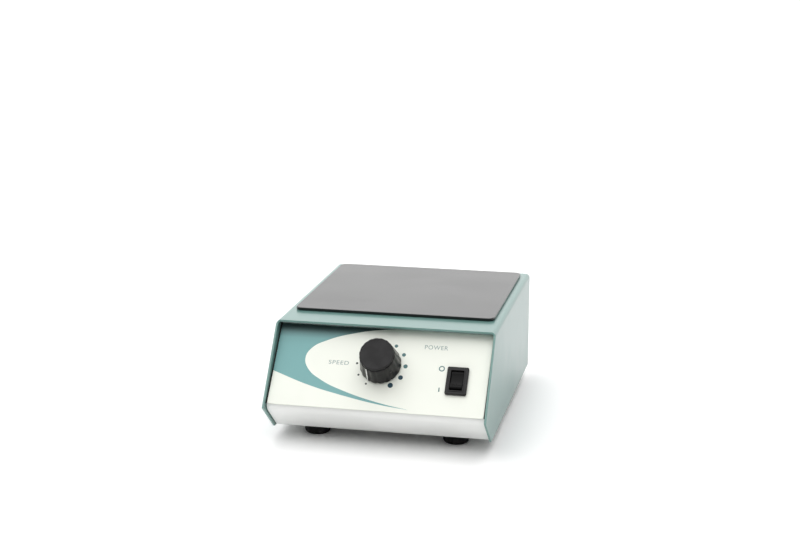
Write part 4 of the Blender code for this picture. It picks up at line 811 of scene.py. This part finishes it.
class STIRRER_OT_screws(Operator):
    """Drive every screw: feet, cover, bracket, motor and inlet"""

    bl_idname = "stirrer.screws"
    bl_label = "Screws"

    def execute(self, context):
        kinds = (("foot_screw_", (2.0, 3.8, 2.2), -WORLD_Z, False),
                 ("cover_screw_", (1.5, 2.8, 1.8), -WORLD_Z, False),
                 ("bracket_screw_", (2.0, 3.8, 2.2), -WORLD_Z, False),
                 ("motor_screw_", (1.5, 2.8, 1.8), WORLD_Z, False),
                 ("inlet_screw_", (1.5, 2.8, 1.8), Vector((0, 1, 0)), True))
        for prefix, sizes, out, flush in kinds:
            shank, head, rise = (size * MM for size in sizes)
            for name in [name for name in frame["nodes"] if name.startswith(prefix)]:
                low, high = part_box(name)
                middle = (low + high) / 2
                reach = abs((high - low).dot(out))
                tip = middle + out * reach / 2
                length = reach if flush else reach - rise
                origin = tip if flush else tip - out * rise
                across = WORLD_X
                turn = Matrix.Rotation(math.radians(17 * len(name) % 90), 4, "Z")
                bm = screw_mesh(shank, head, rise, length, flush)
                add_piece(name + "_driven", bm, "zinc", stands_for=[name],
                          place=frame_at(origin, across, out.cross(across)) @ turn)
        return {"FINISHED"}


# ---------------------------------------------------------------- control panel


def print_curve(name, loops, finish, raised, round_ends):
    """A flat printed shape from closed loops of points on the panel, smooth except at the named corners."""
    curve = bpy.data.curves.new(name, "CURVE")
    curve.dimensions = "2D"
    curve.fill_mode = "BOTH"
    curve.resolution_u = 10
    curve.extrude = raised / 2
    for points, corners in zip(loops, round_ends):
        spline = curve.splines.new("BEZIER")
        spline.bezier_points.add(len(points) - 1)
        spline.use_cyclic_u = True
        for index, (knot, point) in enumerate(zip(spline.bezier_points, points)):
            knot.co = (point[0] * MM, point[1] * MM, raised / 2)
            kind = "VECTOR" if index in corners else "AUTO"
            knot.handle_left_type = kind
            knot.handle_right_type = kind
    return mesh_from_flat(name, curve, finish)


def mesh_from_flat(name, curve, finish, place=None):
    """Turn a text or a flat curve into a mesh piece on the panel."""
    item = bpy.data.objects.new(name + "_outline", curve)
    bpy.context.scene.collection.objects.link(item)
    depsgraph = bpy.context.evaluated_depsgraph_get()
    mesh = bpy.data.meshes.new_from_object(item.evaluated_get(depsgraph))
    bm = bmesh.new()
    bm.from_mesh(mesh)
    bmesh.ops.remove_doubles(bm, verts=bm.verts, dist=0.002 * MM)
    bmesh.ops.recalc_face_normals(bm, faces=bm.faces)
    bpy.data.objects.remove(item, do_unlink=True)
    bpy.data.meshes.remove(mesh)
    if place is not None:
        bm.transform(place)
    return add_piece(name, bm, finish, place=PANEL_FRAME)


PRINT_RISE = 0.03 * MM


def add_word(name, text, low, high, finish):
    """A word whose capitals fill a box on the panel."""
    curve = bpy.data.curves.new(name, "FONT")
    curve.body = text
    curve.size = 4 * MM
    curve.space_character = 1.12
    curve.extrude = PRINT_RISE / 2
    item = bpy.data.objects.new(name + "_measure", curve)
    bpy.context.scene.collection.objects.link(item)
    bpy.context.view_layer.update()
    corners = [Vector(corner) for corner in item.bound_box]
    bpy.data.objects.remove(item, do_unlink=True)
    left, right = min(corner.x for corner in corners), max(corner.x for corner in corners)
    bottom, top = min(corner.y for corner in corners), max(corner.y for corner in corners)
    across = (high[0] - low[0]) * MM / (right - left)
    up = (high[1] - low[1]) * MM / (top - bottom)
    place = Matrix.Translation((low[0] * MM, low[1] * MM, PRINT_RISE / 2))
    place = place @ Matrix.Diagonal((across, up, 1, 1)) @ Matrix.Translation((-left, -bottom, 0))
    return mesh_from_flat(name, curve, finish, place)


# The printed field, in millimetres across and up the panel: its lower edge to the tip, then back along the
# white sweep. The curve is smooth through these points.
FIELD_EDGE = [(-50.1, 18.9), (-22.7, 12.3), (4.0, 7.4), (24.3, 5.1)]
FIELD_SWEEP = [(4.0, 8.6), (-23.3, 15.9), (-42.1, 23.7), (-52.4, 31.6), (-55.6, 39.6), (-52.2, 47.6),
               (-41.5, 54.5), (-21.8, 61.3), (-2.0, 65.2)]
FIELD_LEFT_FOOT = 28.2


class STIRRER_OT_overlay(Operator):
    """Print the control panel's film: teal field, dots, words and switch marks"""

    bl_idname = "stirrer.overlay"
    bl_label = "Panel Print"

    def execute(self, context):
        controls = context.scene.stirrer_controls
        low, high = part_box("front_overlay")
        width = high.x - low.x
        foot = 2.6 * MM
        reach = (high.z - low.z - 0.3 * MM * PANEL_OUT.z) / PANEL_UP.z + 2.1 * MM
        film = slab(width - 0.1 * MM, reach, -0.58 * MM, 0, 1.5 * MM, 6, (0, foot + reach / 2))
        ease(film, 0.25 * MM, 3, chosen=upper_rim(-NEAR))
        cutter = drill(7.5 * MM, -MM, MM, 48)
        cutter.transform(Matrix.Translation((0, KNOB_UP, 0)))
        switch_place = PANEL_FRAME.inverted() @ SWITCH_FRAME
        merge_into(cutter, slab(13.4 * MM, 19.2 * MM, -MM, MM), switch_place)
        add_piece("overlay_film", film, "film", stands_for=["front_overlay"],
                  place=PANEL_FRAME, cutter=cutter)

        # Dark foam strips along the panel's sides: a dark sheet put where there is only shade, between the
        # panel and the cover's walls.
        shade_strips = bmesh.new()
        for side in (-1, 1):
            merge_into(shade_strips, slab(0.85 * MM, reach, -0.5 * MM, 0.15 * MM, 0.2 * MM, 2,
                                   (side * (CHASSIS_HIGH.x - 0.05 * MM), foot + reach / 2)))
        add_piece("panel_side_shade_strips", shade_strips, "pad", place=PANEL_FRAME)

        top = (foot + reach) / MM - 0.15
        left = -width / 2 / MM + 0.15
        outer = [(left, top), (left, FIELD_LEFT_FOOT)] + FIELD_EDGE
        loop = outer + FIELD_SWEEP + [(7.0, top)]
        corners = {0, 1, len(outer) - 1, len(loop) - 1}
        # The field's finish darkens its upper part with painted shade.
        print_curve("teal_field", [loop], "teal_ink_painted_shade", PRINT_RISE, [corners])

        inks = ("grey_ink",) * 5 + ("middle_ink",) * 4 + ("dark_ink",) * 2
        groups = {ink: bmesh.new() for ink in dict.fromkeys(inks)}
        for index, ink in enumerate(inks):
            share = index / (len(inks) - 1)
            radius = controls.smallest_dot + (controls.largest_dot - controls.smallest_dot) * share ** 1.6
            angle = math.radians(-90 - 30 * (index + 1))
            dot = drill(radius, 0, PRINT_RISE, 32)
            merge_into(groups[ink], dot, Matrix.Translation((
                controls.dot_circle * math.cos(angle) + 0.2 * MM,
                controls.dot_circle * math.sin(angle) + 37.9 * MM, 0)))
        for ink, dots in groups.items():
            add_piece("speed_dots_" + ink.removesuffix("_ink"), dots, ink, place=PANEL_FRAME)

        add_word("speed_word", controls.speed_text, (-38.0, 36.1), (-23.3, 39.1), "pale_ink")
        add_word("power_word", controls.power_text, (29.6, 52.2), (46.2, 55.4), "pale_ink")
        ring = turned([(1.35 * MM, 0), (2.15 * MM, 0), (2.15 * MM, PRINT_RISE), (1.35 * MM, PRINT_RISE)], 48)
        add_piece("off_ring", ring, "middle_ink",
                  place=PANEL_FRAME @ Matrix.Translation((43.8 * MM, 38.0 * MM, 0)))
        bar = slab(0.8 * MM, 3.2 * MM, 0, PRINT_RISE, 0.1 * MM, 2, (43.8 * MM, 21.9 * MM))
        add_piece("on_bar", bar, "middle_ink", place=PANEL_FRAME)
        return {"FINISHED"}


class STIRRER_OT_knob(Operator):
    """Turn the fluted speed knob with its cap and white pointer"""

    bl_idname = "stirrer.knob"
    bl_label = "Speed Knob"

    def execute(self, context):
        controls = context.scene.stirrer_controls
        foot_radius, top_radius = controls.knob_radius, controls.knob_top_radius
        lift, shoulder, rim = 0.7 * MM, 15.9 * MM, 16.7 * MM
        groove = top_radius - 1.7 * MM

        def side(height):
            share = (height - lift) / (shoulder - lift)
            return foot_radius + (top_radius - foot_radius) * share

        profile = [(9 * MM, lift), (foot_radius - 0.5 * MM, lift),
                   (foot_radius - 0.15 * MM, lift + 0.15 * MM), (foot_radius, lift + 0.5 * MM)]
        profile += [(side(height * MM), height * MM) for height in (3, 5.5, 8, 10.5, 13.5)]
        profile += [(side(shoulder - 0.5 * MM), shoulder - 0.5 * MM),
                    (top_radius - 0.15 * MM, shoulder - 0.12 * MM), (top_radius - 0.5 * MM, shoulder),
                    (groove, shoulder), (groove, rim), (7.8 * MM, rim), (7.8 * MM, 13.8 * MM),
                    (4.5 * MM, 13.8 * MM), (4.5 * MM, 5.9 * MM), (9 * MM, 5.9 * MM)]
        bm = turned(profile, controls.knob_flutes * 10)
        self.flute(bm, controls, groove + 0.2 * MM)
        add_piece("knob_grip", bm, "knob", "knob", ["knob_body"], KNOB_FRAME)

        cap = 12.3 * MM
        low, high = rim + 0.15 * MM, 18.7 * MM
        profile = [(0, 14.1 * MM), (7.5 * MM, 14.1 * MM), (7.5 * MM, low), (cap - 0.2 * MM, low),
                   (cap, low + 0.2 * MM), (cap, high - 0.4 * MM), (cap - 0.12 * MM, high - 0.12 * MM),
                   (cap - 0.4 * MM, high), (cap - 1.4 * MM, high), (cap - 1.7 * MM, high - 0.12 * MM),
                   (0, high - 0.12 * MM)]
        bm = turned(profile, controls.knob_flutes * 10)
        self.flute(bm, controls, cap - 0.6 * MM, 0.6)
        add_piece("knob_disc", bm, "knob_top", "knob", ["knob_cap"], KNOB_FRAME)

        half, proud = 0.42 * MM, 0.12 * MM
        start, end = lift + 0.6 * MM, shoulder - 0.25 * MM
        bm = bmesh.new()
        corners = [bm.verts.new((across, side(height) - proud, height))
                   for across, height in ((-half, start), (half, start), (half, end), (-half, end))]
        bm.faces.new(corners)
        ease(raise_faces(bm, (0, 2 * proud, 0)), 0.06 * MM)
        turn = Matrix.Rotation(POINTER_REST, 4, "Z")
        add_piece("knob_pointer", bm, "pointer", "knob", (), KNOB_FRAME @ turn)
        return {"FINISHED"}

    @staticmethod
    def flute(bm, controls, inner, share=1.0):
        """Hollow the outer wall between its crests."""
        for vert in bm.verts:
            radius = math.hypot(vert.co.x, vert.co.y)
            if radius > inner:
                angle = math.atan2(vert.co.y, vert.co.x)
                wave = (1 - math.cos(controls.knob_flutes * angle)) / 2
                dip = controls.flute_depth * share * wave ** 1.5
                vert.co.x *= (radius - dip) / radius
                vert.co.y *= (radius - dip) / radius


class STIRRER_OT_switch(Operator):
    """Build the power switch: stepped bezel, window and dished rocker"""

    bl_idname = "stirrer.switch"
    bl_label = "Power Switch"

    def execute(self, context):
        controls = context.scene.stirrer_controls
        width, height = controls.bezel_width, controls.bezel_height
        seat, face = 0.02 * MM, 2.3 * MM
        bm = slab(width, height, seat, face, 1.2 * MM, 6)
        ease(bm, 0.55 * MM, 3, chosen=upper_rim(face - NEAR))
        body = slab(12.8 * MM, 18.6 * MM, -16.7 * MM, seat + 0.5 * MM, 0.6 * MM, 3)
        bm = joined("switch_form", bm, body)
        window = slab(9.4 * MM, 15.2 * MM, -7.7 * MM, 5 * MM, 0.5 * MM, 3)
        add_piece("switch_bezel", bm, "switch", stands_for=["switch_housing"],
                  place=SWITCH_FRAME, cutter=window)

        lip = slab(11.0 * MM, 16.8 * MM, face - 0.3 * MM, face + 0.45 * MM, 0.8 * MM, 4)
        ease(lip, 0.18 * MM, 2, chosen=upper_rim(face))
        opening = slab(9.5 * MM, 15.3 * MM, -2 * MM, 5 * MM, 0.5 * MM, 3)
        add_piece("switch_frame_lip", lip, "switch", place=SWITCH_FRAME, cutter=opening)

        radius = 7.3 * MM
        rims = [math.radians(-15 + 47 * step / 10) for step in range(11)]
        upper = [(radius * math.cos(turn), radius * math.sin(turn)) for turn in rims]
        tip, crest = upper[-1]
        lands = 1.0 * MM
        dish = 1.25 * MM
        hollow = [(tip - lands - (tip - lands) * 2 * step / 14,
                   crest - dish * math.sin(math.pi * step / 14) ** 0.8) for step in range(15)]
        lower = [(-across, up) for across, up in reversed(upper)]
        outline = upper + hollow + lower + [(-2.75 * MM, -5.5 * MM), (2.75 * MM, -5.5 * MM)]
        half = 4.4 * MM
        bm = prism(outline, -half, half)
        ease(bm, 0.3 * MM, 3, math.radians(70))
        on_side = Matrix(((0, 0, 1, 0), (1, 0, 0, 0), (0, 1, 0, 0), (0, 0, 0, 1)))
        tilt = Matrix.Rotation(ROCKER_REST, 4, "X")
        add_piece("rocker_cap", bm, "rocker", "rocker", ["switch_rocker"],
                  ROCKER_FRAME @ tilt @ on_side)
        return {"FINISHED"}


# ---------------------------------------------------------------- mains inlet


class STIRRER_OT_inlet(Operator):
    """Build the mains inlet: flange, socket, blades and fuse drawer"""

    bl_idname = "stirrer.inlet"
    bl_label = "Mains Inlet"

    def execute(self, context):
        front = INLET_FRONT
        bm = slab(50 * MM, 34 * MM, 0.02 * MM, front, 4 * MM, 8)
        ease(bm, 0.6 * MM, 3, chosen=upper_rim(front - NEAR))
        bm = joined("inlet_form", bm, slab(28 * MM, 29.4 * MM, front - 26 * MM, 0.6 * MM, 1 * MM, 3))

        half, rise, nip, middle = 12.2 * MM, 8.2 * MM, 4.5 * MM, 5.2 * MM
        socket = [(-half, middle - rise), (half, middle - rise), (half, middle + rise - nip),
                  (half - nip, middle + rise), (-half + nip, middle + rise), (-half, middle + rise - nip)]
        cutter = prism(socket, front - 16 * MM, front + 2 * MM)
        merge_into(cutter, slab(22.6 * MM, 7.8 * MM, front - 24.3 * MM, front + 2 * MM, 0, 1, (0, DRAWER_UP)))
        for side in (-1, 1):
            sink = turned([(0, -4 * MM), (1.8 * MM, -4 * MM), (1.8 * MM, front - 2.2 * MM), (3.4 * MM, front),
                           (3.4 * MM, front + 2 * MM), (0, front + 2 * MM)], 32)
            merge_into(cutter, sink, Matrix.Translation((side * INLET_SCREW_REACH, 0, 0)))
        add_piece("inlet_shell", bm, "inlet", stands_for=["inlet_housing"],
                  place=INLET_FRAME, cutter=cutter)

        for name in ("inlet_pin_line", "inlet_pin_neutral", "inlet_pin_earth"):
            low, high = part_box(name)
            size = high - low
            centre = (low + high) / 2
            bm = slab(size.x, size.z, -size.y / 2, size.y / 2, 0.3 * MM, 3)
            ease(bm, 0.55 * MM, 2, chosen=upper_rim(size.y / 2 - NEAR))
            add_piece(name + "_blade", bm, "brass", stands_for=[name],
                      place=frame_at(centre, -WORLD_X, WORLD_Z))

        bm = slab(22 * MM, 7.2 * MM, front - 24 * MM, front, 0.5 * MM, 3, (0, DRAWER_UP))
        ease(bm, 0.3 * MM, 2, chosen=upper_rim(front - NEAR))
        cutter = slab(5.8 * MM, 9 * MM, front - 22.3 * MM, front - 1.7 * MM, 0, 1,
                      (-5 * MM, DRAWER_UP + 2.9 * MM))
        notch = slab(8 * MM, 2.8 * MM, front - 2.4 * MM, front + 2 * MM, 0.6 * MM, 3, (3.4 * MM, DRAWER_UP))
        merge_into(cutter, notch)
        add_piece("drawer_tray", bm, "inlet", "drawer", ["fuse_drawer"],
                  INLET_FRAME, cutter)
        return {"FINISHED"}


# ---------------------------------------------------------------- works inside


CARRIED_OVER = {
    "zinc": ("motor_bracket",),
    "steel": ("motor_case", "motor_shaft", "pot_body", "yoke_set_screw"),
    "brass": ("knob_collet", "pot_nut", "switch_terminal_upper", "switch_terminal_lower", "earth_stud"),
    "aluminium": ("pot_shaft", "magnet_yoke"),
    "magnet": ("magnet_north", "magnet_south"),
    "switch": ("motor_end_cap",),
    "board": ("control_board",),
    "transformer": ("transformer",),
    "glass": ("fuse",),
    "nylon": ("board_support_front_left", "board_support_front_right", "board_support_rear_left",
              "board_support_rear_right"),
    "blue_sleeve": ("capacitor",),
    "green_block": ("terminal_block",),
    "brown_wire": ("live_wire",),
    "red_wire": ("switched_wire",),
    "grey_wire": ("motor_wire", "speed_wire"),
    "earth_wire": ("earth_wire",),
    "knob": ("knob_body", "knob_cap"),
    "cover_paint": ("cover",),
    "chassis_paint": ("chassis",),
    "film": ("front_overlay",),
    "plate": ("top_plate",),
}


class STIRRER_OT_works(Operator):
    """Give every carried-over piece its finish"""

    bl_idname = "stirrer.works"
    bl_label = "Works Inside"

    def execute(self, context):
        for finish, names in CARRIED_OVER.items():
            for name in names:
                node = frame["nodes"][name]
                for material_slot in node.material_slots:
                    material_slot.material = FINISHES[finish]
        return {"FINISHED"}


class STIRRER_OT_finishes(Operator):
    """Mix the paints, prints, plastics and metals"""

    bl_idname = "stirrer.finishes"
    bl_label = "Finishes"

    def execute(self, context):
        make_finishes()
        return {"FINISHED"}


# ---------------------------------------------------------------- stage


FLOOR_RADIUS = 14.0
CAMERA_PLACE = Vector((0.2353, -1.0859, 0.3835))
CAMERA_TURN = math.radians(12.41)      # round to the right of straight ahead
CAMERA_RISE = math.radians(13.76)      # looking down by this angle
CAMERA_LENS = 68.9                     # millimetres, on a 36 mm sensor
AMBIENT, CEILING, BACKDROP = 0.09, 2.12, 1.38      # light strengths


class STIRRER_OT_stage(Operator):
    """Set the pale floor, the soft lights and the camera"""

    bl_idname = "stirrer.stage"
    bl_label = "Stage"

    def execute(self, context):
        bm = bmesh.new()
        bmesh.ops.create_circle(bm, cap_ends=True, segments=96, radius=FLOOR_RADIUS)
        floor = new_object("floor", bm)
        pale = Finish("floor_pale", (0.95, 0.95, 0.95), 0.6)
        floor.data.materials.append(pale.material)

        world = bpy.data.worlds.new("studio")
        context.scene.world = world
        world.use_nodes = True
        room = Shading(world.node_tree, "Background")
        facing = room.node("TexCoord", pick="Generated")

        def toward(direction, low, high):
            aim = Vector(direction).normalized()
            near = room.node("VectorMath", {"operation": "DOT_PRODUCT"}, {0: facing, 1: aim}, pick="Value")
            return room.ramp(near, low, high)

        ceiling = toward((-0.12, -0.2, 1), 0.6, 0.82)
        backdrop = toward((-0.1, 1, 0.25), 0.5, 0.9)
        light = AMBIENT + ceiling * CEILING + backdrop * (BACKDROP - ceiling)
        seen = room.node("LightPath", pick="Is Camera Ray")
        room.feed("Color", (1.0, 1.0, 1.0))
        room.feed("Strength", light * (1 - seen) + seen)

        camera = bpy.data.objects.new("camera", bpy.data.cameras.new("camera"))
        context.scene.collection.objects.link(camera)
        back = Vector((math.sin(CAMERA_TURN) * math.cos(CAMERA_RISE),
                       -math.cos(CAMERA_TURN) * math.cos(CAMERA_RISE), math.sin(CAMERA_RISE)))
        across = WORLD_Z.cross(back).normalized()
        camera.matrix_world = frame_at(CAMERA_PLACE, across, back.cross(across))
        camera.data.sensor_width = 36
        camera.data.lens = CAMERA_LENS
        camera.data.clip_start = 0.02
        camera.data.clip_end = 60
        context.scene.camera = camera
        context.scene.view_settings.view_transform = "Standard"
        return {"FINISHED"}


# ---------------------------------------------------------------- add-on


PIECES = (STIRRER_OT_finishes, STIRRER_OT_stage, STIRRER_OT_cover, STIRRER_OT_chassis, STIRRER_OT_top_plate,
          STIRRER_OT_feet, STIRRER_OT_screws, STIRRER_OT_overlay, STIRRER_OT_knob, STIRRER_OT_switch,
          STIRRER_OT_inlet, STIRRER_OT_works)


class STIRRER_PT_pieces(Panel):
    """Lists the stirrer's pieces and their sizes"""

    bl_idname = "STIRRER_PT_pieces"
    bl_label = "Magnetic Stirrer"
    bl_space_type = "VIEW_3D"
    bl_region_type = "UI"
    bl_category = "Stirrer"

    def draw(self, context):
        layout = self.layout
        for piece in PIECES:
            layout.operator(piece.bl_idname)
        scene = context.scene
        for group in (scene.stirrer_case, scene.stirrer_controls, scene.stirrer_colours):
            box = layout.box()
            for name in group.__annotations__:
                box.prop(group, name)


CLASSES = (StirrerCaseSizes, StirrerControlSizes, StirrerColours, *PIECES, STIRRER_PT_pieces)


def register():
    for item in CLASSES:
        bpy.utils.register_class(item)
    bpy.types.Scene.stirrer_case = PointerProperty(type=StirrerCaseSizes)
    bpy.types.Scene.stirrer_controls = PointerProperty(type=StirrerControlSizes)
    bpy.types.Scene.stirrer_colours = PointerProperty(type=StirrerColours)


def unregister():
    del bpy.types.Scene.stirrer_colours
    del bpy.types.Scene.stirrer_controls
    del bpy.types.Scene.stirrer_case
    for item in reversed(CLASSES):
        bpy.utils.unregister_class(item)


def main():
    """Build the whole stirrer."""
    register()
    for piece in PIECES:
        group, name = piece.bl_idname.split(".")
        getattr(getattr(bpy.ops, group), name)()


if __name__ == "__main__":
    main()
